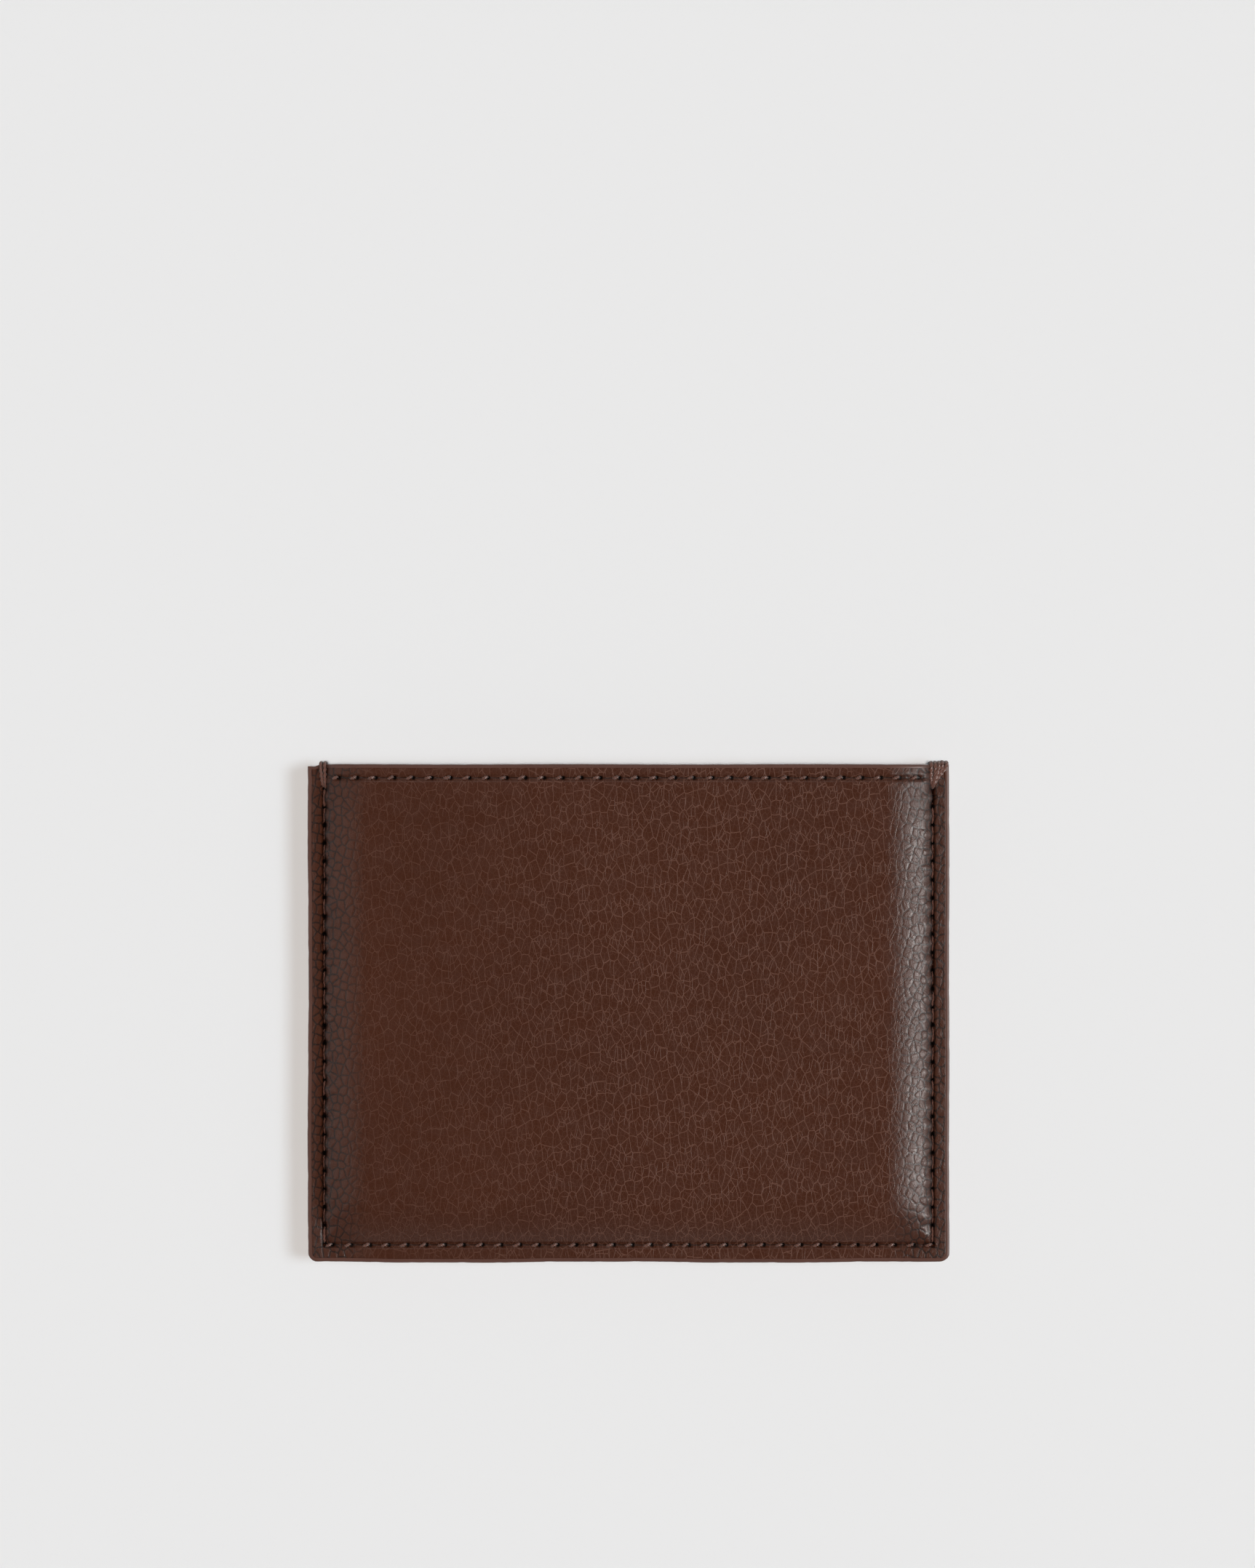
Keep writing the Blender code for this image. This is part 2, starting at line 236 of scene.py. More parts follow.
def blank(name, across, along, keep=None):
    """A flat grid on those lines, extruded downwards into two skins. keep(x, y) leaves some faces out."""
    bpy.ops.object.select_all(action="DESELECT")
    bpy.ops.mesh.primitive_grid_add(
        x_subdivisions=len(across) - 1, y_subdivisions=len(along) - 1, size=1.0
    )
    obj = bpy.context.active_object
    obj.name = obj.data.name = name
    co = coordinates(obj.data)
    column = np.rint((co[:, 0] + 0.5) * (len(across) - 1)).astype(int)
    row = np.rint((co[:, 1] + 0.5) * (len(along) - 1)).astype(int)
    put_coordinates(obj.data, np.column_stack([across[column], along[row], np.zeros(len(co))]))
    bpy.ops.object.mode_set(mode="EDIT")
    if keep:
        bpy.ops.mesh.select_all(action="DESELECT")
        bpy.ops.object.mode_set(mode="OBJECT")
        for face in obj.data.polygons:
            face.select = not keep(face.center.x, face.center.y)
        bpy.ops.object.mode_set(mode="EDIT")
        bpy.ops.mesh.select_mode(type="FACE")
        bpy.ops.mesh.delete(type="FACE")
    bpy.ops.mesh.select_all(action="SELECT")
    bpy.ops.mesh.extrude_region_move(TRANSFORM_OT_translate={"value": (0, 0, -MM)})
    face_outwards()
    return obj


# %% Shaping and finishing a piece
def rounded_corners(x, y):
    """Pulls the two bottom corners of a sheet in onto an arc."""
    across = (np.abs(x) - (SHEET_X - CORNER)) / CORNER
    down = (SHEET_BOTTOM + CORNER - y) / CORNER
    at = (across > 0) & (down > 0)
    reach = np.maximum(across, down) / np.maximum(np.hypot(across, down), 1e-9)
    new_x = np.sign(x) * (SHEET_X - CORNER + CORNER * across * reach)
    new_y = SHEET_BOTTOM + CORNER - CORNER * down * reach
    return np.where(at, new_x, x), np.where(at, new_y, y)


def shape_sheet(obj, low, high):
    """Sets a blank's two skins to the heights low(x, y) and high(x, y)."""
    co = coordinates(obj.data)
    x, y = co[:, 0], co[:, 1]
    z = np.where(co[:, 2] > -MM / 2, high(x, y), low(x, y))
    new_x, new_y = rounded_corners(x, y)
    put_coordinates(obj.data, np.column_stack([new_x, new_y, z]))


def settle(co):
    """Pulls the outer margin in here and there by a few tenths, as trimming by hand does."""
    x, y = co[:, 0], co[:, 1]
    side = np.clip((np.abs(x) - SEAM_X - 0.5 * MM) / (1.6 * MM), 0, 1)
    right = 0.03 * MM * (1 + np.sin(y * 210))
    left = 0.07 * MM * (1 + np.sin(y * 120 + 1.0)) + 0.02 * MM * (1 + np.sin(y * 420))
    top = np.clip((y - MOUTH_ROW - 0.45 * MM) / (1.5 * MM), 0, 1)
    mouth = 0.03 * MM * (1 + np.sin(x * 170))
    mouth += 0.35 * MM * np.clip((-SEAM_X - 0.75 * MM - x) / (0.5 * MM), 0, 1)
    foot = np.clip((SEAM_Y - 0.5 * MM - y) / (1.8 * MM), 0, 1)
    under = 0.09 * MM * (1 + np.sin(x * 130 + 2.0)) + 0.03 * MM * (1 + np.sin(x * 380))
    new_x = x - np.sign(x) * side * np.where(x > 0, right, left)
    new_y = y - top * mouth + foot * under
    return np.column_stack([new_x, new_y, co[:, 2]])


def finish_piece(obj, material, slot, *nodes, angle=50):
    """Smooth shading, one material, and the CAD nodes that the piece replaces hidden. What the piece stands
    for, slot, is not used.
    """
    put_coordinates(obj.data, settle(coordinates(obj.data)))
    only(obj)
    bpy.ops.object.shade_smooth_by_angle(angle=math.radians(angle))
    obj.data.materials.clear()
    obj.data.materials.append(material)
    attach(obj, BODY)
    if nodes:
        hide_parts(*nodes)
    triangles = sum(len(face.vertices) - 2 for face in obj.data.polygons)
    print(f"{obj.name}: {triangles} triangles")
    return obj


print("corner radius of a sheet:", CORNER)

# %% [markdown]
# ## The relief of sewn leather
# A tight thread draws the leather down into a groove, deepest at each hole, and the leather swells up a
# little between two holes. The rim is rounded by the burnisher. These are shapes, not textures, so they are
# in the mesh. Soft unevenness over the field, well under a millimetre, keeps the light from lying on it flat.

# %% Grooves, holes and rims
GROOVE_HALF = 0.62 * MM
SIDE_GROOVE_HALF = 0.46 * MM


def groove(distance, depth, half=GROOVE_HALF):
    """A round-bottomed groove at that distance from its middle."""
    t = np.clip(np.abs(distance) / half, 0, 1)
    return depth * (0.5 + 0.5 * np.cos(np.pi * t)) ** 0.8


def dimples(x, y, centres, radius, depth):
    """Round pits at the needle holes."""
    out = np.zeros_like(x)
    for cx, cy in centres:
        near = (np.abs(x - cx) < radius) & (np.abs(y - cy) < radius)
        d = np.hypot(x[near] - cx, y[near] - cy) / radius
        out[near] = np.maximum(out[near], depth * np.clip(1 - d, 0, 1) ** 0.7)
    return out


def rim_drop(x, y, radius, mouth):
    """How far the rounded rim lies below the skin."""
    inside = np.minimum(SHEET_X - np.abs(x), y - SHEET_BOTTOM)
    inside = np.minimum(inside, mouth - y)
    d = np.clip(inside / radius, 0, 1)
    return radius * (1 - np.sqrt(1 - (1 - d) ** 2))


print("groove half widths:", GROOVE_HALF, SIDE_GROOVE_HALF)

# %% [markdown]
# ## The swell and its unevenness
# Cards press the skin up from inside, so it rolls quickly out of the groove and then climbs on an easy
# slope. A few crossed waves with seeded directions make it uneven, as a real hide is.

# %% Unevenness and swell
WAVES = [
    (rng.uniform(60, 260), rng.uniform(0, math.tau), rng.uniform(0, math.tau), rng.uniform(0.4, 1.0))
    for _ in range(14)
]


def uneven(x, y):
    """Soft unevenness from a few crossed waves, about -1 to 1."""
    total = np.zeros_like(x)
    for frequency, angle, phase, size in WAVES:
        along = x * math.cos(angle) + y * math.sin(angle)
        total += size * np.sin(frequency * along + phase) / math.sqrt(frequency / 60)
    return total / 4


def pulses(at, holes):
    """1 at each hole and 0 half way between two of them."""
    pitch = holes[1] - holes[0]
    return 0.5 + 0.5 * np.cos(math.tau * (at - holes[0]) / pitch)


def roll(distance, reach):
    return 1 - (1 - np.clip(distance / reach, 0, 1)) ** 2


def padded(x, y):
    """The swell of the outer skin: a quick roll out of the groove, then a long easy slope."""
    across = SEAM_X - 0.25 * MM - np.abs(x)
    along = y - SEAM_Y - 0.25 * MM
    quick = roll(across, 1.1 * MM)
    slow = roll(across, 7.5 * MM)
    return (0.34 * quick + 0.66 * slow) * roll(along, 8.0 * MM)


print("waves:", len(WAVES))


# %% Relief of the seam and of the mouth row
def seam_relief(x, y):
    """How deep the seam's groove, its holes and its puckers are."""
    side = (y > SEAM_Y - 0.3 * MM) & (y < MOUTH)
    off = np.abs(x) - SEAM_X
    depth = groove(off, SIDE_DEPTH, SIDE_GROOVE_HALF) * side
    below = np.abs(x) < SEAM_X + 0.3 * MM
    bottom = groove(y - SEAM_Y, ROW_DEPTH) * below
    left = [(-SEAM_X, hole) for hole in SIDE_HOLES]
    right = [(SEAM_X, hole) for hole in SIDE_HOLES]
    under = [(hole + HOLE_BESIDE, SEAM_Y) for hole in BOTTOM_HOLES]
    pits = dimples(x, y, left + right, 0.5 * MM, 0.2 * MM)
    pits = np.maximum(pits, dimples(x, y, under, 0.45 * MM, 0.55 * MM))
    lap = np.exp(-(((off + 1.0 * MM) / (0.6 * MM)) ** 2)) * side
    pucker = 0.2 * MM * lap * (2 * pulses(y, SIDE_HOLES) - 1)
    margin = np.exp(-(((off - 0.9 * MM) / (0.5 * MM)) ** 2)) * side
    pucker += 0.12 * MM * margin * (2 * pulses(y, SIDE_HOLES) - 1)
    return np.maximum(depth, bottom) + pits + pucker


def mouth_relief(x, y):
    """How deep the mouth row's groove, its holes and its puckers are."""
    within = np.abs(x) < MOUTH_ROW_END
    holes = [(hole + HOLE_BESIDE, MOUTH_ROW) for hole in MOUTH_HOLES]
    pits = dimples(x, y, holes, 0.45 * MM, 0.55 * MM)
    near = np.exp(-(((np.abs(y - MOUTH_ROW) - 0.9 * MM) / (0.45 * MM)) ** 2)) * within
    pucker = 0.05 * MM * near * (2 * pulses(x, MOUTH_HOLES + 0.4 * MM) - 1)
    return groove(y - MOUTH_ROW, ROW_DEPTH) * within + pits + pucker


def overhang(x, y):
    """How far the padded leather bulges sideways over the thread between two holes."""
    off = np.abs(x) - SEAM_X
    window = np.clip(1 - np.abs(off + 0.45 * MM) / (0.52 * MM), 0, 1)
    side = np.clip((y - SEAM_Y - MM) / (2 * MM), 0, 1) * np.clip((MOUTH_ROW - y) / (2 * MM), 0, 1)
    return 0.48 * MM * window * side * (0.15 + 0.85 * (1 - pulses(y, SIDE_HOLES)))


print("groove depths: side", SIDE_DEPTH, "rows", ROW_DEPTH)

# %% [markdown]
# ## Node helpers
# Each finish is worked out by small nodes that add, multiply and mix, so these helpers do the wiring. All
# patterns read Object coordinates, in millimetres, so a pattern has its real size and stays put on the piece
# whichever way it is looked at.

# %% Node helpers
def new_material(name, roughness, specular=0.5):
    material = bpy.data.materials.new(name)
    material.use_nodes = True
    tree = material.node_tree
    shader = tree.nodes["Principled BSDF"]
    shader.inputs["Roughness"].default_value = roughness
    shader.inputs["Specular IOR Level"].default_value = specular
    return material, tree, shader


def feed(tree, socket, value):
    """Links an output to the socket, or sets it to a plain value."""
    if isinstance(value, bpy.types.NodeSocket):
        tree.links.new(value, socket)
    else:
        socket.default_value = value


def node(tree, kind, inputs=None, **settings):
    """Adds a node, sets its properties, and links or sets its inputs."""
    made = tree.nodes.new(kind)
    for key, value in settings.items():
        setattr(made, key, value)
    for key, value in (inputs or {}).items():
        feed(tree, made.inputs[key], value)
    return made


def math_node(tree, operation, first, second=0.0):
    return node(tree, "ShaderNodeMath", {0: first, 1: second}, operation=operation).outputs[0]


def times(tree, first, second):
    return math_node(tree, "MULTIPLY", first, second)


def plus(tree, first, second):
    return math_node(tree, "ADD", first, second)


def minus(tree, first, second):
    return math_node(tree, "SUBTRACT", first, second)


def larger(tree, first, second):
    return math_node(tree, "MAXIMUM", first, second)


def distance(tree, first, second=0.0):
    """How far apart two values are."""
    return math_node(tree, "ABSOLUTE", minus(tree, first, second))


def remap(tree, value, low, high, new_low=0.0, new_high=1.0):
    inputs = {"Value": value, "From Min": low, "From Max": high, "To Min": new_low, "To Max": new_high}
    return node(tree, "ShaderNodeMapRange", inputs, interpolation_type="SMOOTHSTEP").outputs["Result"]


def mixed(tree, factor, first, second):
    """A colour between first and second."""
    made = node(tree, "ShaderNodeMix", {0: factor}, data_type="RGBA")
    feed(tree, made.inputs[6], first)
    feed(tree, made.inputs[7], second)
    return made.outputs[2]


def mixed_value(tree, factor, first, second):
    return node(tree, "ShaderNodeMix", {0: factor, 2: first, 3: second}, data_type="FLOAT").outputs[0]


def in_millimetres(tree, stretch=(1.0, 1.0, 1.0), turn=0.0):
    """Object coordinates in millimetres, stretched and turned about Z."""
    place = node(tree, "ShaderNodeTexCoord").outputs["Object"]
    scale = tuple(1000.0 * s for s in stretch)
    inputs = {"Vector": place, "Scale": scale, "Rotation": (0.0, 0.0, turn)}
    return node(tree, "ShaderNodeMapping", inputs).outputs["Vector"]


def noise(tree, place, scale, detail=3.0, roughness=0.5):
    inputs = {"Vector": place, "Scale": scale, "Detail": detail, "Roughness": roughness}
    return node(tree, "ShaderNodeTexNoise", inputs).outputs["Fac"]


def warped(tree, place, scale, amount):
    """The coordinates pushed about by a noise, so that cells don't look like cells."""
    inputs = {"Vector": place, "Scale": scale, "Detail": 2.0}
    push = node(tree, "ShaderNodeTexNoise", inputs).outputs["Color"]
    centred = node(tree, "ShaderNodeVectorMath", {0: push, 1: (0.5, 0.5, 0.5)}, operation="SUBTRACT")
    inputs = {0: centred.outputs[0], "Scale": amount}
    scaled = node(tree, "ShaderNodeVectorMath", inputs, operation="SCALE")
    inputs = {0: place, 1: scaled.outputs[0]}
    return node(tree, "ShaderNodeVectorMath", inputs, operation="ADD").outputs[0]


def bumped(tree, shader, height, strength, depth):
    """Gives the shader a bump of that depth, in metres."""
    bump = node(tree, "ShaderNodeBump", {"Height": height, "Strength": strength, "Distance": depth})
    tree.links.new(bump.outputs["Normal"], shader.inputs["Normal"])


print("one millimetre on a pattern is", MM, "m")

# %% [markdown]
# ## Leather
# Full-grain leather is flat plates parted by creases. Over the field a crease is hair thin and painted pale,
# as a painted highlight. Beside the side seams the hide is bunched up, so there the plates are round pebbles
# with painted shade in the gaps between them, and the trimmed margin outside the thread is crumpled. Voronoi
# cells give both. They are cut from the plane of the hide, not from solid cells, because a nearly level
# sheet slices solid cells into smears. A noise pushes the cells about, since no two plates of a real hide are
# alike.

# %% Where each part of the hide lies
BROWN = (0.0590, 0.0170, 0.0078, 1.0)
BROWN_DARK = (0.0545, 0.0156, 0.0072, 1.0)
# Pale brown for the creases' painted highlight and for the pale specks.
PALE_SPECK_AND_CREASE_HIGHLIGHT_BROWN = (0.210, 0.100, 0.072, 1.0)
MARGIN_BROWN = (0.020, 0.007, 0.005, 1.0)
# Painted shade for the gaps between the pebbles.
PEBBLE_GAP_SHADE_BROWN = (0.014, 0.006, 0.004, 1.0)
# Painted shade for the needle holes and grooves, and painted shadow beside the side thread.
HOLE_SHADE_BLACK = (0.004, 0.002, 0.0015, 1.0)


def parts_of_hide(tree, place):
    """Values from 0 to 1: the right half, the bunched sides, the margin, and beside the mouth."""
    xyz = node(tree, "ShaderNodeSeparateXYZ", {0: place})
    off_middle = distance(tree, xyz.outputs[0])
    return {
        "right": remap(tree, xyz.outputs[0], -40.0, 5.0, 0.5, 1.0),
        "side": remap(tree, off_middle, 40.0, 46.5),
        "margin": remap(tree, off_middle, SEAM_X * 1000 + 0.1, SEAM_X * 1000 + 0.6),
        "mouth": remap(tree, xyz.outputs[1], MOUTH * 1000 - 11.0, MOUTH * 1000 - 5.0),
    }


print("hide:", BROWN[:3], "| worn:", PALE_SPECK_AND_CREASE_HIGHLIGHT_BROWN[:3])


# %% Creases, pebbles and relief
def cell_edges(tree, place, scale, randomness):
    """The distance to the nearest edge between two flat cells."""
    inputs = {"Vector": place, "Scale": scale, "Randomness": randomness}
    plan = {"feature": "DISTANCE_TO_EDGE", "voronoi_dimensions": "2D"}
    return node(tree, "ShaderNodeTexVoronoi", inputs, **plan).outputs["Distance"]


def crease_cells(tree, place, scale, width):
    """1 in the crease between two plates, 0 on the plates."""
    return remap(tree, cell_edges(tree, place, scale, 0.85), 0.0, width, 1.0, 0.0)


def hide_creases(tree, place, tall, rounded, part):
    """Creases of three sizes. The two large kinds come and go over the hide, and all fade to the left, away
    from the light, so their painted highlight in the colour is brightest on the right.
    """
    leaning = warped(tree, in_millimetres(tree, (1.0, 0.50, 1.0), 0.30), 0.6, 0.4)
    some = remap(tree, noise(tree, place, 0.45, 2.0), 0.36, 0.56, 0.7, 1.0)
    plates = times(tree, crease_cells(tree, tall, 0.76, 0.052), some)
    elsewhere = remap(tree, noise(tree, place, 0.38, 2.0), 0.42, 0.56)
    halves = times(tree, crease_cells(tree, leaning, 1.02, 0.048), elsewhere)
    small = crease_cells(tree, rounded, 1.45, 0.070)
    minor = times(tree, small, mixed_value(tree, part["margin"], 0.34, 0.9))
    # Stronger towards the lit right: in the colour this is painted highlight.
    strong = mixed_value(tree, part["side"], part["right"], 0.45)
    return times(tree, larger(tree, larger(tree, plates, halves), minor), strong)


def hide_height(tree, place, tall, pebbles, creases, part):
    """The height of the grain: pores all over, pebbles at the sides, a crumpled margin, less the creases."""
    plump = mixed_value(tree, part["margin"], mixed_value(tree, part["side"], 0.06, 1.0), 0.6)
    raised = times(tree, remap(tree, pebbles, 0.0, 0.30), plump)
    pores = times(tree, noise(tree, place, 4.5, 2.0), 0.16)
    only_margin = mixed_value(tree, part["margin"], 0.0, 1.2)
    crumple = times(tree, noise(tree, tall, 1.9, 4.0, 0.6), only_margin)
    cut = times(tree, creases, mixed_value(tree, part["side"], 0.22, 0.8))
    return minus(tree, plus(tree, plus(tree, pores, raised), crumple), cut)


print("the seam's margin starts at", SEAM_X)

# %% [markdown]
# ## The leather's colour and shine
# Dye and wax leave soft patches of two browns. The creases of the field are painted pale, most towards the
# right: a painted highlight where light from that side catches their walls. The gaps between the pebbles get
# painted shade. The needle holes and the pressed line that joins them are painted nearly black, as painted
# shade in these hollows, and down the sides the wider dark line is painted shadow under the leather that
# overhangs the thread. The skin shines least in its creases and at the bunched sides. One recipe makes all
# three leathers, so the skins match: the back's has the painted shade of its rows, and the fillers' is raw
# and matt.

# %% Holes, colour and shine
def hole_row_shade(tree, along, across, row, first, pitch, limits, hole, line):
    """1 in the needle holes of a row and on the thin line that joins them: where the painted shade goes."""
    turns = math_node(tree, "DIVIDE", minus(tree, along, first), pitch)
    step = times(tree, math_node(tree, "PINGPONG", turns, 0.5), pitch)
    off = distance(tree, across, row)
    squares = plus(tree, math_node(tree, "POWER", step, 2.0), math_node(tree, "POWER", off, 2.0))
    spot = remap(tree, math_node(tree, "SQRT", squares), 0.5 * hole, hole, 1.0, 0.0)
    thin = remap(tree, off, 0.2 * line, line, 0.7, 0.0)
    low = remap(tree, along, limits[0] - 0.3, limits[0])
    high = remap(tree, along, limits[1], limits[1] + 0.3, 1.0, 0.0)
    return times(tree, larger(tree, spot, thin), times(tree, low, high))


def painted_row_shade(tree, place):
    """Where painted shade goes in the holes and grooves of the back's four rows, with painted shadow in the
    side grooves. The thread hides the sides' own holes.
    """
    xyz = node(tree, "ShaderNodeSeparateXYZ", {0: place})
    x, y = xyz.outputs[0], xyz.outputs[1]
    waver = times(tree, minus(tree, noise(tree, place, 0.5, 2.0), 0.5), 0.35)
    across_y = plus(tree, y, times(tree, waver, 0.5))
    across_x = plus(tree, distance(tree, x), waver)
    limits = (-SEAM_X * 1000 + 0.9, SEAM_X * 1000 - 0.9)
    rows = []
    for holes, row in ((MOUTH_HOLES, MOUTH_ROW), (BOTTOM_HOLES, SEAM_Y)):
        first, pitch = (holes[0] + HOLE_BESIDE) * 1000, (holes[1] - holes[0]) * 1000
        rows.append(hole_row_shade(tree, x, across_y, row * 1000, first, pitch, limits, 0.44, 0.18))
    first, pitch = SIDE_HOLES[0] * 1000, (SIDE_HOLES[1] - SIDE_HOLES[0]) * 1000
    limits = (SIDE_HOLES[0] * 1000, SIDE_HOLES[-1] * 1000)
    # A wider dark line down the sides: painted shadow under the leather that bulges over the thread.
    sides = hole_row_shade(tree, y, across_x, SEAM_X * 1000, first, pitch, limits, 0.55, 0.42)
    return larger(tree, rows[0], larger(tree, rows[1], sides))


def hide_tone(tree, place, pebbles, creases, part, browns):
    colour, dark, pale = browns
    patches = remap(tree, noise(tree, place, 0.06, 3.0), 0.36, 0.66)
    tone = mixed(tree, patches, dark, colour)
    # Pale creases: a painted highlight, faint at the bunched sides.
    painted_crease_highlight = times(tree, creases, mixed_value(tree, part["side"], 0.52, 0.08))
    tone = mixed(tree, painted_crease_highlight, tone, pale)
    tone = mixed(tree, times(tree, part["margin"], 0.04), tone, MARGIN_BROWN)
    # Painted shade in the gaps between the pebbles, at the sides and in the margin.
    painted_gap_shade = remap(tree, pebbles, 0.03, 0.15, 0.9, 0.0)
    tone = mixed(tree, times(tree, painted_gap_shade, larger(tree, part["side"], part["margin"])), tone, PEBBLE_GAP_SHADE_BROWN)
    specks = remap(tree, noise(tree, place, 2.4, 4.0), 0.73, 0.78)
    return mixed(tree, times(tree, specks, 0.35), tone, pale)


def hide_roughness(tree, place, creases, part, roughness):
    cloudy = remap(tree, noise(tree, place, 0.5, 3.0), 0.3, 0.7, roughness - 0.04, roughness + 0.04)
    handled = larger(tree, part["margin"], times(tree, part["mouth"], part["side"]))
    dull = plus(tree, cloudy, times(tree, handled, 0.06))
    dull = plus(tree, dull, times(tree, part["side"], 0.10))
    return plus(tree, dull, times(tree, creases, 0.12))


print("dark holes in rows of", len(MOUTH_HOLES), len(BOTTOM_HOLES), len(SIDE_HOLES))


# %% The three leathers
def leather(name, browns, grain=1.0, roughness=0.38, with_row_shade=False):
    material, tree, shader = new_material(name, roughness)
    place = in_millimetres(tree)
    part = parts_of_hide(tree, place)
    tall = warped(tree, in_millimetres(tree, (1.0, 0.60, 1.0), -0.22), 0.5, 0.45)
    rounded = warped(tree, in_millimetres(tree, (1.0, 0.8, 1.0), 0.3), 0.9, 0.4)
    creases = hide_creases(tree, place, tall, rounded, part)
    pebbles = cell_edges(tree, rounded, 0.86, 0.75)
    height = hide_height(tree, place, tall, pebbles, creases, part)
    bumped(tree, shader, height, 1.0, 0.050 * MM * grain)
    tone = hide_tone(tree, place, pebbles, creases, part, browns)
    # The back gets painted shade in the holes and grooves of its rows.
    if with_row_shade:
        tone = mixed(tree, painted_row_shade(tree, place), tone, HOLE_SHADE_BLACK)
    tree.links.new(tone, shader.inputs["Base Color"])
    tree.links.new(hide_roughness(tree, place, creases, part, roughness), shader.inputs["Roughness"])
    return material


BROWNS = (BROWN, BROWN_DARK, PALE_SPECK_AND_CREASE_HIGHLIGHT_BROWN)
RAW_BROWNS = (BROWN_DARK, BROWN_DARK, PALE_SPECK_AND_CREASE_HIGHLIGHT_BROWN)
LEATHER = leather("brown_leather", BROWNS, with_row_shade=True)
FRONT_LEATHER = leather("brown_leather_front", BROWNS)
FILLER_LEATHER = leather("skived_leather", RAW_BROWNS, grain=2.0, roughness=0.8)
print("leathers:", LEATHER.name, FRONT_LEATHER.name, FILLER_LEATHER.name)

# %% [markdown]
# ## Lining, thread and edge paint
# The lining is a thin twill: two crossed sets of ribs from wave textures, so it shades as cloth right up
# close. The thread is waxed: its fibres show in its tone and its bump, under a soft shine. Edge paint is a
# pigmented coat, a shade redder than the leather, with faint lines where the layers meet under it.

# %% Lining and thread
TWILL_TONES = (0.038, 0.023, 0.018, 1.0), (0.075, 0.046, 0.036, 1.0)
TWILL_GAP = (0.030, 0.018, 0.014, 1.0)
THREAD_TONES = (0.070, 0.026, 0.018, 1.0), (0.210, 0.100, 0.078, 1.0)


def waves_of(tree, place, direction, scale, unevenness):
    inputs = {"Vector": place, "Scale": scale, "Distortion": unevenness, "Detail": 1.0}
    return node(tree, "ShaderNodeTexWave", inputs, bands_direction=direction).outputs["Fac"]


def twill(name):
    material, tree, shader = new_material(name, 0.82, 0.25)
    place = in_millimetres(tree)
    ribs = waves_of(tree, in_millimetres(tree, turn=0.9), "X", 0.62, 0.25)
    yarns = waves_of(tree, place, "Y", 0.95, 0.15)
    weave = plus(tree, ribs, times(tree, yarns, 0.5))
    tone = mixed(tree, noise(tree, place, 1.6), *TWILL_TONES)
    tone = mixed(tree, times(tree, weave, 0.4), TWILL_GAP, tone)
    tree.links.new(tone, shader.inputs["Base Color"])
    bumped(tree, shader, weave, 0.8, 0.06 * MM)
    shader.inputs["Sheen Weight"].default_value = 0.25
    return material


def waxed_thread(name):
    material, tree, shader = new_material(name, 0.38)
    fibres = noise(tree, in_millimetres(tree), 7.0, 3.0, 0.6)
    tree.links.new(mixed(tree, fibres, *THREAD_TONES), shader.inputs["Base Color"])
    bumped(tree, shader, fibres, 0.6, 0.03 * MM)
    shader.inputs["Sheen Weight"].default_value = 0.15
    return material


LINING = twill("pocket_twill")
WAXED_THREAD = waxed_thread("waxed_thread")
print("soft finishes:", LINING.name, WAXED_THREAD.name)

# %% Edge paint
PAINT_TONES = (0.092, 0.038, 0.028, 1.0), (0.135, 0.062, 0.047, 1.0)
PAINT_STREAK = (0.060, 0.026, 0.020, 1.0)
PAINT_LINE = (0.020, 0.009, 0.007, 1.0)
LAYER_JOINTS = (3.05, 3.95, 5.0, 5.75)


def layer_joints(tree, place):
    """1 on the lines, at heights in mm, where two layers meet under the paint of the three closed edges."""
    height_up = node(tree, "ShaderNodeSeparateXYZ", {0: warped(tree, place, 0.3, 0.12)}).outputs[2]
    joints = 0.0
    for level in LAYER_JOINTS:
        joints = larger(tree, joints, remap(tree, distance(tree, height_up, level), 0.02, 0.09, 1.0, 0.0))
    xyz = node(tree, "ShaderNodeSeparateXYZ", {0: place})
    side = remap(tree, distance(tree, xyz.outputs[0]), 50.0, 50.3)
    foot = remap(tree, times(tree, xyz.outputs[1], -1.0), 38.9, 39.2)
    return times(tree, joints, larger(tree, side, foot))


def edge_paint(name):
    material, tree, shader = new_material(name, 0.5, 0.4)
    place = in_millimetres(tree)
    strata = noise(tree, in_millimetres(tree, (0.05, 0.05, 1.0)), 1.3, 2.0)
    joints = layer_joints(tree, place)
    tone = mixed(tree, noise(tree, place, 0.25), *PAINT_TONES)
    tone = mixed(tree, times(tree, strata, 0.5), tone, PAINT_STREAK)
    tone = mixed(tree, times(tree, joints, 0.5), tone, PAINT_LINE)
    tree.links.new(tone, shader.inputs["Base Color"])
    height = plus(tree, strata, times(tree, noise(tree, place, 2.2), 0.4))
    height = minus(tree, height, times(tree, joints, 0.8))
    bumped(tree, shader, height, 0.5, 0.05 * MM)
    return material


EDGE_PAINT = edge_paint("edge_paint")
print("edge paint:", EDGE_PAINT.name)

# %% [markdown]
# ## The back panel
# This is the piece that everyone sees: one sheet of leather, 1.1 mm thick. It gets the finest grid, with
# lines gathered along its three rows of stitches. Its underside lies on the lining and is flat over the
# field, so one face takes the place of the many small ones there, which halves the weight of the mesh.

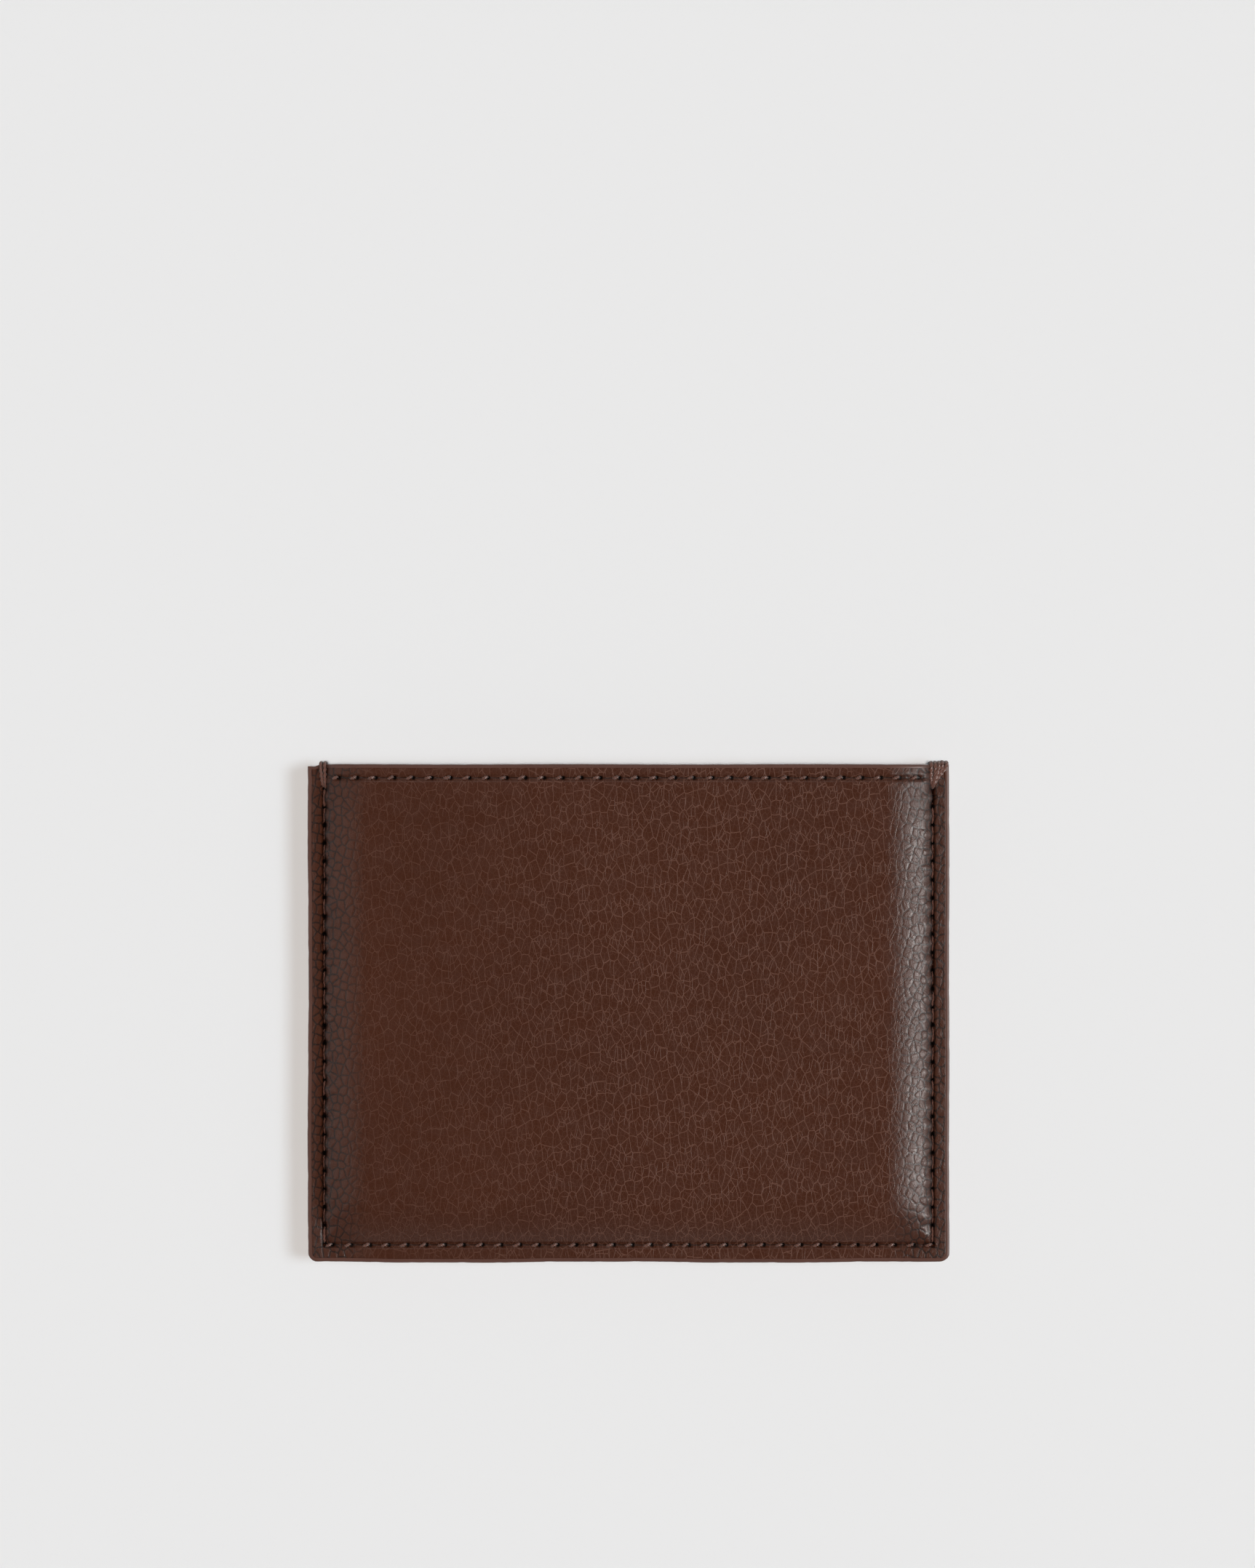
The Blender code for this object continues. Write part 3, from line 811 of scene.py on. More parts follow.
# %% One face for a hidden flat field
def simplify_hidden_field(obj, height, up):
    """Puts one face in place of the many small flat ones on the field's hidden side."""
    only(obj)
    bpy.ops.object.mode_set(mode="EDIT")
    bpy.ops.mesh.select_mode(type="FACE")
    bpy.ops.mesh.select_all(action="DESELECT")
    bpy.ops.object.mode_set(mode="OBJECT")
    for face in obj.data.polygons:
        level = abs(face.center.z - height) < 0.002 * MM
        face.select = level and face.normal.z * up > 0.999
    bpy.ops.object.mode_set(mode="EDIT")
    bpy.ops.mesh.delete(type="FACE")
    bpy.ops.mesh.select_mode(type="EDGE")
    bpy.ops.mesh.select_all(action="DESELECT")
    bpy.ops.mesh.select_non_manifold()
    bpy.ops.mesh.edge_face_add()
    face_outwards()


print("hidden field at", LAYERS["back"][1])


# %% The outer skin
def back_top(x, y):
    """The outer skin before the needle and the rim shape it."""
    seam, field, thickness = LAYERS["back"]
    rise = padded(x, y)
    skin = seam + thickness + (field - seam) * rise + 0.06 * MM * uneven(x, y) * np.clip(rise * 2, 0, 1)
    skin = np.minimum(skin, field + thickness + 0.06 * MM)
    skin = np.maximum(skin, underside("back", x, y) + 0.35 * MM)
    return skin - 0.35 * MM * np.clip(1 - (SHEET_MOUTH - y) / (4.2 * MM), 0, 1) ** 2


def back_face(x, y):
    """The outer skin with its grooves, holes, puckers and rim."""
    relief = np.minimum(seam_relief(x, y) + mouth_relief(x, y), 1.0 * MM)
    return back_top(x, y) - relief - rim_drop(x, y, 0.14 * MM, SHEET_MOUTH + MM)


print("outer skin over the middle:", height_at(back_face, 0.0, 0.0))

# %% Back panel
STEP = ROW_PITCH / 7
xs = lines(-SHEET_X, SHEET_X, STEP, band(-SEAM_X) + band(SEAM_X))
ys = lines(SHEET_BOTTOM, SHEET_MOUTH, STEP, band(SEAM_Y) + band(MOUTH_ROW))
back = blank("back_panel_leather", xs, ys)
shape_sheet(back, skins_of("back")[0], back_face)
co = coordinates(back.data)
on_top = co[:, 2] > topside("back", co[:, 0], co[:, 1]) - 1.05 * MM
co[:, 0] += np.sign(co[:, 0]) * overhang(co[:, 0], co[:, 1]) * on_top
put_coordinates(back.data, co)
simplify_hidden_field(back, LAYERS["back"][1], -1)
finish_piece(back, LEATHER, "leather", "back_panel")

# %% [markdown]
# ## The linings
# Two sheets of twill, 0.3 mm thick, line the note pocket. Each was cut flat and glued to its leather before
# sewing, so it follows the same swell. The size that it was cut to is worked out and printed.

# %% Linings
LINING_STEP = 0.9 * MM


def arc_length(function, places):
    """The length of cloth that follows those heights over those places."""
    heights = function(places)
    return float(np.hypot(np.diff(places), np.diff(heights)).sum())


for layer, leather_node in (("back_lining", "back_panel_leather"), ("front_lining", "front_panel")):
    xs = lines(-SHEET_X, SHEET_X, LINING_STEP)
    ys = lines(SHEET_BOTTOM, SHEET_MOUTH, LINING_STEP)
    cloth = blank(layer + "_twill", xs, ys)
    shape_sheet(cloth, *skins_of(layer))
    middle = (SHEET_BOTTOM + SHEET_MOUTH) / 2
    width = arc_length(lambda at: underside(layer, at, np.full_like(at, middle)), xs)
    length = arc_length(lambda at: underside(layer, np.zeros_like(at), at), ys)
    finish_piece(cloth, LINING, "lining", layer)
    print(f"{layer}: cut {width * 1000:.1f} x {length * 1000:.1f} mm")

# %% [markdown]
# ## The front panel and its card slots
# The front wall of the note pocket carries two stepped slots. Each slot's mouth has a creased line pressed
# in with a hot tool, 1.6 mm from its edge, in place of stitches. These sheets show their undersides, because
# the wallet lies on them, so the relief goes into the lower skin.

# %% The relief of the card-slot side
FRONT_STEP = 0.7 * MM
CREASE_INSET = 1.6 * MM
CREASE_BAND = (0.15, 0.3, 0.45)


def crease_line(y, at):
    """The line that a hot tool presses in beside a slot's mouth."""
    return 0.16 * MM * np.exp(-(((y - at) / (0.22 * MM)) ** 2))


def front_seam_relief(x, y, low_end):
    """The groove of the seam on the card-slot side, for a sheet that starts at low_end."""
    side = y > low_end
    depth = groove(np.abs(x) - SEAM_X, 0.5 * MM) * side
    holes = [(sign * SEAM_X, hole) for sign in (-1, 1) for hole in SIDE_HOLES]
    pits = dimples(x, y, holes, 0.5 * MM, 0.15 * MM)
    return depth + pits * side


def front_low(x, y):
    low = underside("front", x, y)
    mouth = groove(y - MOUTH_ROW, ROW_DEPTH) * (np.abs(x) < MOUTH_ROW_END)
    holes = [(hole + FRONT_HOLE_BESIDE, MOUTH_ROW) for hole in MOUTH_HOLES]
    pits = dimples(x, y, holes, 0.5 * MM, 0.35 * MM)
    relief = front_seam_relief(x, y, UPPER_MOUTH) + mouth + pits
    return low + np.minimum(relief, 0.75 * MM) + rim_drop(x, y, 0.35 * MM, SHEET_MOUTH)


def upper_low(x, y):
    low = underside("upper_slot", x, y)
    relief = front_seam_relief(x, y, LOWER_MOUTH) + crease_line(y, UPPER_MOUTH - CREASE_INSET)
    return low + np.minimum(relief, 0.65 * MM) + rim_drop(x, y, 0.2 * MM, UPPER_MOUTH)


def lower_low(x, y):
    low = underside("lower_slot", x, y)
    bottom = groove(y - SEAM_Y, ROW_DEPTH) * (np.abs(x) < SEAM_X + 0.3 * MM)
    holes = [(hole + FRONT_HOLE_BESIDE, SEAM_Y) for hole in BOTTOM_HOLES]
    pits = dimples(x, y, holes, 0.5 * MM, 0.3 * MM)
    relief = np.maximum(front_seam_relief(x, y, SEAM_Y - 0.3 * MM), bottom) + pits
    relief += crease_line(y, LOWER_MOUTH - CREASE_INSET)
    return low + np.minimum(relief, 0.65 * MM) + rim_drop(x, y, 0.25 * MM, LOWER_MOUTH)


print("creased lines at y", UPPER_MOUTH - CREASE_INSET, LOWER_MOUTH - CREASE_INSET)

# %% Front panel
side_bands = band(-SEAM_X) + band(SEAM_X)
xs = lines(-SHEET_X, SHEET_X, FRONT_STEP, side_bands)
ys = lines(SHEET_BOTTOM, SHEET_MOUTH, FRONT_STEP, band(MOUTH_ROW))
front = blank("front_panel_leather", xs, ys)
shape_sheet(front, front_low, skins_of("front")[1])
finish_piece(front, FRONT_LEATHER, "leather", "front_panel")

# %% [markdown]
# ## The two slot panels
# The upper slot's sheet has shoulders that reach the side seams, and a narrower pocket below them with the
# fillers on each side of it, so faces outside that outline are left out of its grid. The lower slot's sheet
# covers all of it and runs down into the bottom seam.

# %% Slot panels
FILLER_GAP = 0.3 * MM
POCKET_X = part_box("filler_right")[0].x - FILLER_GAP
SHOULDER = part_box("filler_right")[1].y + FILLER_GAP


def on_upper(x, y):
    return abs(x) < POCKET_X or y > SHOULDER


fine = band(UPPER_MOUTH - CREASE_INSET, CREASE_BAND)
xs = lines(-SHEET_X, SHEET_X, FRONT_STEP, side_bands + [-POCKET_X, POCKET_X])
ys = lines(POCKET_END, UPPER_MOUTH, FRONT_STEP, fine + [SHOULDER])
upper = blank("upper_slot_leather", xs, ys, on_upper)
shape_sheet(upper, upper_low, skins_of("upper_slot")[1])
finish_piece(upper, FRONT_LEATHER, "leather", "upper_slot_panel")

fine = band(LOWER_MOUTH - CREASE_INSET, CREASE_BAND)
xs = lines(-SHEET_X, SHEET_X, FRONT_STEP, side_bands)
ys = lines(SHEET_BOTTOM, LOWER_MOUTH, FRONT_STEP, fine + band(SEAM_Y))
lower = blank("lower_slot_leather", xs, ys)
shape_sheet(lower, lower_low, skins_of("lower_slot")[1])
finish_piece(lower, FRONT_LEATHER, "leather", "lower_slot_panel")

# %% [markdown]
# ## The fillers
# Three skived strips make up the seam's thickness beside and below the upper slot's pocket. They are the
# CAD's own shapes, shut inside the seam, so they only need a leather with a raw, matt surface.

# %% Fillers keep their CAD shapes
for name in ("filler_left", "filler_right", "filler_bottom"):
    strip = frame["nodes"][name]
    if not strip.material_slots:
        strip.data.materials.append(FILLER_LEATHER)
    for material_slot in strip.material_slots:
        material_slot.material = FILLER_LEATHER
    print(f"{name}: {FILLER_LEATHER.name}")

# %% [markdown]
# ## Painted edges
# Edge paint dries as a rounded bead over the cut layers. Each bead starts as a small filled circle that is
# extruded from station to station into a straight bar, and then each ring of corners is moved to its own
# section, place and height. Working with rings keeps a bead one closed skin round both corners of the seam.

# %% Sweep a section along stations
def section_ring(width, height, outer, inner, points):
    """A bar's outline, centred on its middle, as (out, up) pairs: round outside, nearly square inside."""
    ring = []
    for quarter in range(4):
        radius = outer if quarter in (0, 3) else inner
        cx = (width / 2 - radius) * (1 if quarter in (0, 3) else -1)
        cy = (height / 2 - radius) * (1 if quarter in (0, 1) else -1)
        for i in range(points):
            angle = quarter * math.pi / 2 + (math.pi / 2) * i / (points - 1)
            ring.append((cx + radius * math.cos(angle), cy + radius * math.sin(angle)))
    return np.array(ring)


def straight_bar(name, count, stations):
    """A closed bar along Z with that many corners and stations, made by extruding one face."""
    bpy.ops.object.select_all(action="DESELECT")
    bpy.ops.mesh.primitive_circle_add(vertices=count, radius=MM, fill_type="NGON")
    obj = bpy.context.active_object
    obj.name = obj.data.name = name
    bpy.ops.object.mode_set(mode="EDIT")
    bpy.ops.mesh.select_all(action="SELECT")
    for _ in range(stations - 1):
        bpy.ops.mesh.extrude_region_move(TRANSFORM_OT_translate={"value": (0, 0, MM)})
    face_outwards()
    return obj


def ring_index(co, count):
    """(station, corner) of each vertex of a straight bar."""
    station = np.rint((co[:, 2] - co[:, 2].min()) / MM).astype(int)
    angle = np.arctan2(co[:, 1], co[:, 0]) % math.tau
    first = np.arctan2(co[0, 1], co[0, 0]) % math.tau
    corner = np.rint((angle - first) / (math.tau / count)).astype(int) % count
    return station, corner


def sweep(name, rings):
    """A closed bar whose ring at each station is an array of points."""
    stations, count, _ = rings.shape
    obj = straight_bar(name, count, stations)
    co = coordinates(obj.data)
    station, corner = ring_index(co, count)
    put_coordinates(obj.data, rings[station, corner])
    only(obj)
    bpy.ops.object.mode_set(mode="EDIT")
    face_outwards()
    return obj


print("a straight bar's rings stand", MM, "apart")

# %% [markdown]
# ## The painted edge round the seam
# One bead runs down the left side, round the bottom and up the right side. It covers the layers that end
# there, so its lower side steps up at each slot's mouth. A slight wave, a few hundredths of a millimetre,
# keeps it from looking machined.

# %% The painted edge round the seam
OUT_CORNER = 1.5 * MM
CORNER_STEPS = 8
PAINT = 0.62 * MM
PAINT_ROUND = 0.42 * MM
PAINT_INNER = 0.03 * MM
BELOW_SKIN = 0.05 * MM
RING_POINTS = 6


def seam_edge_stations(step):
    """(x, y, outward x, outward y) down the left side, round the bottom and up the right side."""
    down = [(-HALF_WIDTH, y, -1.0, 0.0) for y in np.arange(MOUTH, BOTTOM + OUT_CORNER, -step)]
    arc = []
    for i in range(CORNER_STEPS + 1):
        angle = math.pi + (math.pi / 2) * i / CORNER_STEPS
        out = (math.cos(angle), math.sin(angle))
        centre = (-HALF_WIDTH + OUT_CORNER, BOTTOM + OUT_CORNER)
        arc.append((centre[0] + OUT_CORNER * out[0], centre[1] + OUT_CORNER * out[1], *out))
    flat = np.arange(-HALF_WIDTH + OUT_CORNER + step, 0, step)
    bottom = [(x, BOTTOM, 0.0, -1.0) for x in flat]
    left = down + arc + bottom
    right = [(-x, y, -ox, oy) for x, y, ox, oy in reversed(left)]
    return np.array(left + right)


def step_up(y, at):
    """0 before the slot's mouth and 1 from half a millimetre past it."""
    return np.clip((y - at) / (0.5 * MM), 0, 1)


rings = []
for x, y, ox, oy in seam_edge_stations(0.6 * MM):
    low = LAYERS["lower_slot"][0]
    low += (LAYERS["upper_slot"][0] - low) * step_up(y, LOWER_MOUTH)
    low += (LAYERS["front"][0] - LAYERS["upper_slot"][0]) * step_up(y, UPPER_MOUTH)
    ring = section_ring(PAINT, SEAM_TOP - low - BELOW_SKIN, PAINT_ROUND, PAINT_INNER, RING_POINTS)
    wave = 0.025 * MM * math.sin(900 * x + 700 * y) + 0.02 * MM * math.sin(2300 * (x + y))
    middle = PAINT / 2 + 0.02 * MM
    out = ring[:, 0] - middle + min(wave, 0.0)
    up = ring[:, 1] + (SEAM_TOP - BELOW_SKIN + low) / 2
    rings.append(np.column_stack([x + ox * out, y + oy * out, up]))
seam_edge = sweep("seam_painted_edge", np.array(rings))
finish_piece(seam_edge, EDGE_PAINT, "edge_paint", "edge_paint_seam")

# %% [markdown]
# ## The painted edges of the mouths
# The back and the front wall of the note pocket each have a bead over leather and lining together, and each
# card slot has a thinner one over its single sheet. The back's bead meets the outer skin, which is lower
# than the sheet's plain top because it has been rolled off towards the mouth.

# %% The painted edges of the mouths
def mouth_edge(name, replaced, y, half, layers, radius=0.26 * MM, skin=None):
    """A bead along a mouth, over the cut edges from the first of layers to the last."""
    rings = []
    for x in np.linspace(-half, half, int(2 * half / (0.7 * MM))):
        low = height_at(skins_of(layers[0])[0], x, y)
        high = height_at(skins_of(layers[-1])[1], x, y)
        if skin:
            high = height_at(skin, x, y - 0.7 * MM) - 0.03 * MM
        ring = section_ring(PAINT, high - low, radius, PAINT_INNER, RING_POINTS)
        wave = 0.02 * MM * math.sin(1500 * x)
        out = y - 0.32 * MM + ring[:, 0] + min(wave, 0.0)
        up = (high + low) / 2 + ring[:, 1]
        rings.append(np.column_stack([np.full(len(ring), x), out, up]))
    strip = sweep(name, np.array(rings))
    return finish_piece(strip, EDGE_PAINT, "edge_paint", replaced)


MOUTH_HALF = HALF_WIDTH - 0.5 * MM
SLOT_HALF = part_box("edge_paint_lower_slot")[1].x
back_layers = ("back_lining", "back")
mouth_edge("back_mouth_edge", "edge_paint_back_mouth", MOUTH, MOUTH_HALF, back_layers, 0.4 * MM, back_face)
mouth_edge("front_mouth_edge", "edge_paint_front_mouth", MOUTH, MOUTH_HALF, ("front", "front_lining"))
for layer in ("upper_slot", "lower_slot"):
    node_name = "edge_paint_" + layer
    mouth_edge(layer + "_edge", node_name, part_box(node_name)[1].y, SLOT_HALF, (layer,))

# %% [markdown]
# ## Twisted thread
# The thread is three plies laid together. A circle of nine corners is pulled into three lobes and extruded
# along with a little turn each time, which gives the rope look for a few dozen faces. One straight rope is
# made for each number of rings and then bent onto the path of every stitch, so each stitch is its own copy.

# %% Rope along a path
TWIST_PER_RING = 0.62
ROPE_CORNERS = 9
ROPES = {}


def straight_rope(rings):
    """A straight twisted rope of unit radius, with that many rings 1 mm apart, kept as a plain mesh."""
    if rings not in ROPES:
        obj = straight_bar("rope", ROPE_CORNERS, rings)
        station, corner = ring_index(coordinates(obj.data), ROPE_CORNERS)
        faces = [tuple(face.vertices) for face in obj.data.polygons]
        ROPES[rings] = (station, corner, faces)
        bpy.data.objects.remove(obj)
    return ROPES[rings]


def path_frames(path):
    """A tangent and two crossing directions at each point of a path."""
    tangent = np.gradient(path, axis=0)
    tangent /= np.linalg.norm(tangent, axis=1)[:, None]
    across = np.cross(tangent, [0.12, 0.2, 1.0])
    across /= np.linalg.norm(across, axis=1)[:, None]
    for i in range(1, len(across)):
        moved = across[i - 1] - tangent[i] * np.dot(across[i - 1], tangent[i])
        across[i] = moved / np.linalg.norm(moved)
    return tangent, across, np.cross(tangent, across)


def rope_points(path, radius, phase):
    """The corners of each ring of a three-ply rope along path."""
    _, across, over = path_frames(path)
    angles = np.arange(ROPE_CORNERS) * math.tau / ROPE_CORNERS
    lobes = 0.82 + 0.26 * np.cos(3 * angles)
    turned = angles[None, :] + TWIST_PER_RING * np.arange(len(path))[:, None] + phase
    size = radius * lobes[None, :, None]
    ring = np.cos(turned)[:, :, None] * across[:, None] + np.sin(turned)[:, :, None] * over[:, None]
    return path[:, None] + size * ring


def ropes(name, paths, radii, node_name):
    """One piece made of a rope along each path."""
    points, faces = [], []
    start = 0
    for index, (path, radius) in enumerate(zip(paths, radii)):
        station, corner, template = straight_rope(len(path))
        ring = rope_points(np.array(path), radius, 0.7 * index)
        points.append(ring[station, corner])
        faces += [tuple(v + start for v in face) for face in template]
        start += len(station)
    mesh = bpy.data.meshes.new(name)
    mesh.from_pydata(np.vstack(points).tolist(), [], faces)
    obj = bpy.data.objects.new(name, mesh)
    bpy.context.scene.collection.objects.link(obj)
    only(obj)
    bpy.ops.object.mode_set(mode="EDIT")
    face_outwards()
    return finish_piece(obj, WAXED_THREAD, "thread", node_name, angle=180)


def stitch_path(start, end, up, rise, sink, rings=9):
    """A stitch from hole to hole: out of one, over the leather and down into the next."""
    start, end, up = Vector(start), Vector(end), Vector((0, 0, up))
    path = []
    for i in range(rings):
        t = i / (rings - 1)
        lift = 1 - (2 * t - 1) ** 4
        path.append(tuple(start.lerp(end, t) + up * (rise * lift - sink * (1 - lift))))
    return path


print("corners of a rope:", ROPE_CORNERS)

# %% [markdown]
# ## The rows of stitches
# Along the mouth and the bottom the thread shows as short slanted stitches, each with its hole to the right,
# because the iron's slits slant and the thread climbs out of one and drops into the next. Down the sides
# the stitches are longer and lie deep in the groove. No two are quite alike, so each gets a small, seeded
# change of place, slant and size.

# %% Stitches in a row
LONG_RINGS = 14
SKIN_SLANT = 0.17 * MM
FRONT_SLANT = 0.16 * MM


def jitter(size):
    """A small seeded change, of either sign."""
    return float(rng.normal(0, size))


def short_row(holes, y, height, up, slant):
    """Short slanted stitches, just beside their holes."""
    paths, radii = [], []
    for hole in holes:
        length = 0.86 * MM + jitter(0.07 * MM)
        middle = hole + jitter(0.05 * MM)
        tilt = slant + jitter(0.04 * MM)
        start = (middle - length / 2, y - tilt, height(middle - length / 2, y))
        end = (middle + length / 2, y + tilt, height(middle + length / 2, y))
        paths.append(stitch_path(start, end, up, 0.12 * MM, 0.5 * MM))
        radii.append(THREAD / 2 * (1.0 + jitter(0.05)))
    return paths, radii


def long_row(x, holes, height, up, lean):
    """Stitches lying in the side groove, from hole to hole."""
    paths, radii = [], []
    inset = 0.2 * MM
    for low, high in zip(holes, holes[1:]):
        shift = jitter(0.07 * MM)
        turned = lean + jitter(0.08 * MM)
        start = (x - turned + shift, low + inset, height(x, low))
        end = (x + turned + shift, high - inset, height(x, high))
        paths.append(stitch_path(start, end, up, jitter(0.10 * MM), 0.5 * MM, LONG_RINGS))
        radii.append(THREAD / 2 * (1.05 + jitter(0.05)))
    return paths, radii


def doubled_stitch(x, low, high, height):
    """The last stitch below a tack, where the thread goes back over itself."""
    paths = []
    for side in (-1, 1):
        start = (x + side * 0.2 * MM, low + 0.1 * MM, height(x, low))
        end = (x - side * 0.12 * MM, high - 0.2 * MM, height(x, high))
        paths.append(stitch_path(start, end, 1, 0.16 * MM, 0.45 * MM, LONG_RINGS))
    return paths, [THREAD / 2 * 1.1] * 2


def joined_rows(*rows):
    """The paths and radii of several rows, one after another."""
    paths, radii = [], []
    for row_paths, row_radii in rows:
        paths += row_paths
        radii += row_radii
    return paths, radii


print("thread:", THREAD)


# %% Rows on the back
def in_groove(x, y):
    return SEAM_TOP - 0.68 * MM


def on_bottom(x, y):
    return SEAM_TOP - 0.16 * MM


def on_back(x, y):
    return height_at(back_top, x, y) - 0.16 * MM


left = long_row(-SEAM_X - 0.1 * MM, SIDE_HOLES[:-1], in_groove, 1, 0.06 * MM)
right = long_row(SEAM_X + 0.1 * MM, SIDE_HOLES, in_groove, 1, 0.06 * MM)
knot = doubled_stitch(-SEAM_X, SIDE_HOLES[-2], SIDE_HOLES[-1], in_groove)
bottom = short_row(BOTTOM_HOLES, SEAM_Y, on_bottom, 1, SKIN_SLANT)
ropes("seam_stitches_back", *joined_rows(left, knot, bottom, right), "seam_thread_back")
mouth = short_row(MOUTH_HOLES, MOUTH_ROW, on_back, 1, SKIN_SLANT)
ropes("mouth_stitches_back", *mouth, "back_mouth_thread")


# %% Rows on the card-slot side
def front_skin(x, y):
    layer = "front" if y > UPPER_MOUTH else "upper_slot" if y > LOWER_MOUTH else "lower_slot"
    return height_at(skins_of(layer)[0], x, y)


def above_front(x, y):
    return front_skin(x, y) + 0.25 * MM


left = long_row(-SEAM_X, SIDE_HOLES, above_front, -1, 0.05 * MM)
right = long_row(SEAM_X, SIDE_HOLES, above_front, -1, -0.05 * MM)
bottom = short_row(BOTTOM_HOLES, SEAM_Y, above_front, -1, FRONT_SLANT)
ropes("seam_stitches_front", *joined_rows(left, bottom, right), "seam_thread_front")
mouth = short_row(MOUTH_HOLES, MOUTH_ROW, above_front, -1, FRONT_SLANT)
ropes("mouth_stitches_front", *mouth, "front_mouth_thread")

# %% [markdown]
# ## The row that closes the upper slot's pocket
# The upper slot's sheet ends in a pocket that is stitched across its foot. The lower slot's sheet hides the
# row, so it only shows to someone who opens the slot, but the pocket wouldn't hold a card without it.

# %% The pocket's row
POCKET_ROW = (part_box("upper_slot_thread")[0].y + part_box("upper_slot_thread")[1].y) / 2
POCKET_END_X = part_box("upper_slot_thread")[1].x
pocket_holes = holes_between(-POCKET_END_X + MM, POCKET_END_X - MM, ROW_PITCH)


def on_pocket(x, y):
    return height_at(skins_of("upper_slot")[0], x, y) - 0.12 * MM


pocket = short_row(pocket_holes, POCKET_ROW, on_pocket, -1, FRONT_SLANT)
ropes("upper_slot_stitches", *pocket, "upper_slot_thread")

# %% [markdown]
# ## The tacks
# At each end of the seam the thread goes over the mouth edge and back, which keeps the pocket from tearing
# open. On the left two strands lie side by side. On the right five fan out over the corner, as three
# pieces. Each strand is one rope over both faces, bent through points that stand just off the leather.

# %% The path of a strand
STRAND_RINGS = 48


def smooth_path(points, count):
    """Evenly spaced points on a smooth curve through the given ones."""
    points = np.array(points)
    for _ in range(3):
        cut = [points[0]]
        for a, b in zip(points, points[1:]):
            cut += [a * 0.75 + b * 0.25, a * 0.25 + b * 0.75]
        points = np.array(cut + [points[-1]])
    along = np.concatenate([[0], np.cumsum(np.linalg.norm(np.diff(points, axis=0), axis=1))])
    at = np.linspace(0, along[-1], count)
    return np.column_stack([np.interp(at, along, points[:, k]) for k in range(3)])


def strand(hole_x, edge_x, reach):
    """The path of one strand from its hole on the back, over the mouth edge, to its hole on the front."""
    top = SEAM_TOP + 0.1 * MM + jitter(0.04 * MM)
    low = LAYERS["front"][0] - 0.12 * MM
    out = MOUTH + 0.14 * MM + jitter(0.05 * MM)
    hole = MOUTH - reach
    half_way = ((hole_x + edge_x) / 2 + jitter(0.06 * MM), (hole + MOUTH) / 2)
    return [
        (hole_x, hole, top - 0.9 * MM),
        (hole_x, hole + 0.15 * MM, top - 0.1 * MM),
        (*half_way, top + 0.08 * MM),
        (edge_x, MOUTH - 0.5 * MM, top),
        (edge_x, out, top - 0.15 * MM),
        (edge_x, out + 0.05 * MM, (top + low) / 2),
        (edge_x, out, low + 0.15 * MM),
        (edge_x, MOUTH - 0.5 * MM, low),
        (*half_way, low - 0.05 * MM),
        (hole_x, hole + 0.15 * MM, low + 0.1 * MM),
        (hole_x, hole, low + 0.9 * MM),
    ]


print("rings along a strand:", STRAND_RINGS)


# %% Tacks over the mouth edge
def tack(name, *strands, size):
    """One piece of a strand or two, each given as its hole's x, its x at the edge, and its reach."""
    paths = [smooth_path(strand(*places), STRAND_RINGS) for places in strands]
    return ropes(name + "_strand", paths, [THREAD / 2 * size] * len(paths), name)


tack("tack_left_1", (-SEAM_X - 0.3 * MM, -SEAM_X - 0.62 * MM, 3.5 * MM), size=1.05)
tack("tack_left_2", (-SEAM_X + 0.15 * MM, -SEAM_X + 0.05 * MM, 3.7 * MM), size=1.05)
wide = (SEAM_X + 0.6 * MM, SEAM_X + 2.3 * MM, 2.8 * MM)
tack("tack_right_1", wide, (SEAM_X + 0.35 * MM, SEAM_X + 1.65 * MM, 3.2 * MM), size=1.3)
beside = (SEAM_X + 0.2 * MM, SEAM_X + 1.1 * MM, 3.5 * MM)
tack("tack_right_2", (SEAM_X + 0.05 * MM, SEAM_X + 0.5 * MM, 3.7 * MM), beside, size=1.3)
tack("tack_right_3", (SEAM_X - 0.3 * MM, SEAM_X - 0.15 * MM, 3.4 * MM), size=1.3)

# %% [markdown]
# ## Table
# The table is plain, pale and matt, a single large plane at the height of the wallet's underside. It isn't
# part of the object.

# %% Table
TABLE_SIZE = 6.0
TABLE_TONE = (0.866, 0.870, 0.901, 1.0)
bpy.ops.object.select_all(action="DESELECT")
bpy.ops.mesh.primitive_plane_add(size=TABLE_SIZE, location=(0.0, 0.0, 0.0))
table = bpy.context.active_object
table.name = "table_top"
paper, tree, shader = new_material("pale_table", 0.9, 0.1)
shader.inputs["Base Color"].default_value = TABLE_TONE
table.data.materials.append(paper)
print("table:", TABLE_SIZE, "m across")

# %% [markdown]
# ## Light
# Studio light does two jobs, and here each has its own lamps. A cool lamp on the right and a warmer one
# overhead light the table and the leather and throw the soft shadow, but leave no gloss. A window low on
# the right and two pale walls leave only gloss: the long soft shine on the leather and on each ply of the
# thread. A dim room, darkest straight overhead, fills the rest.

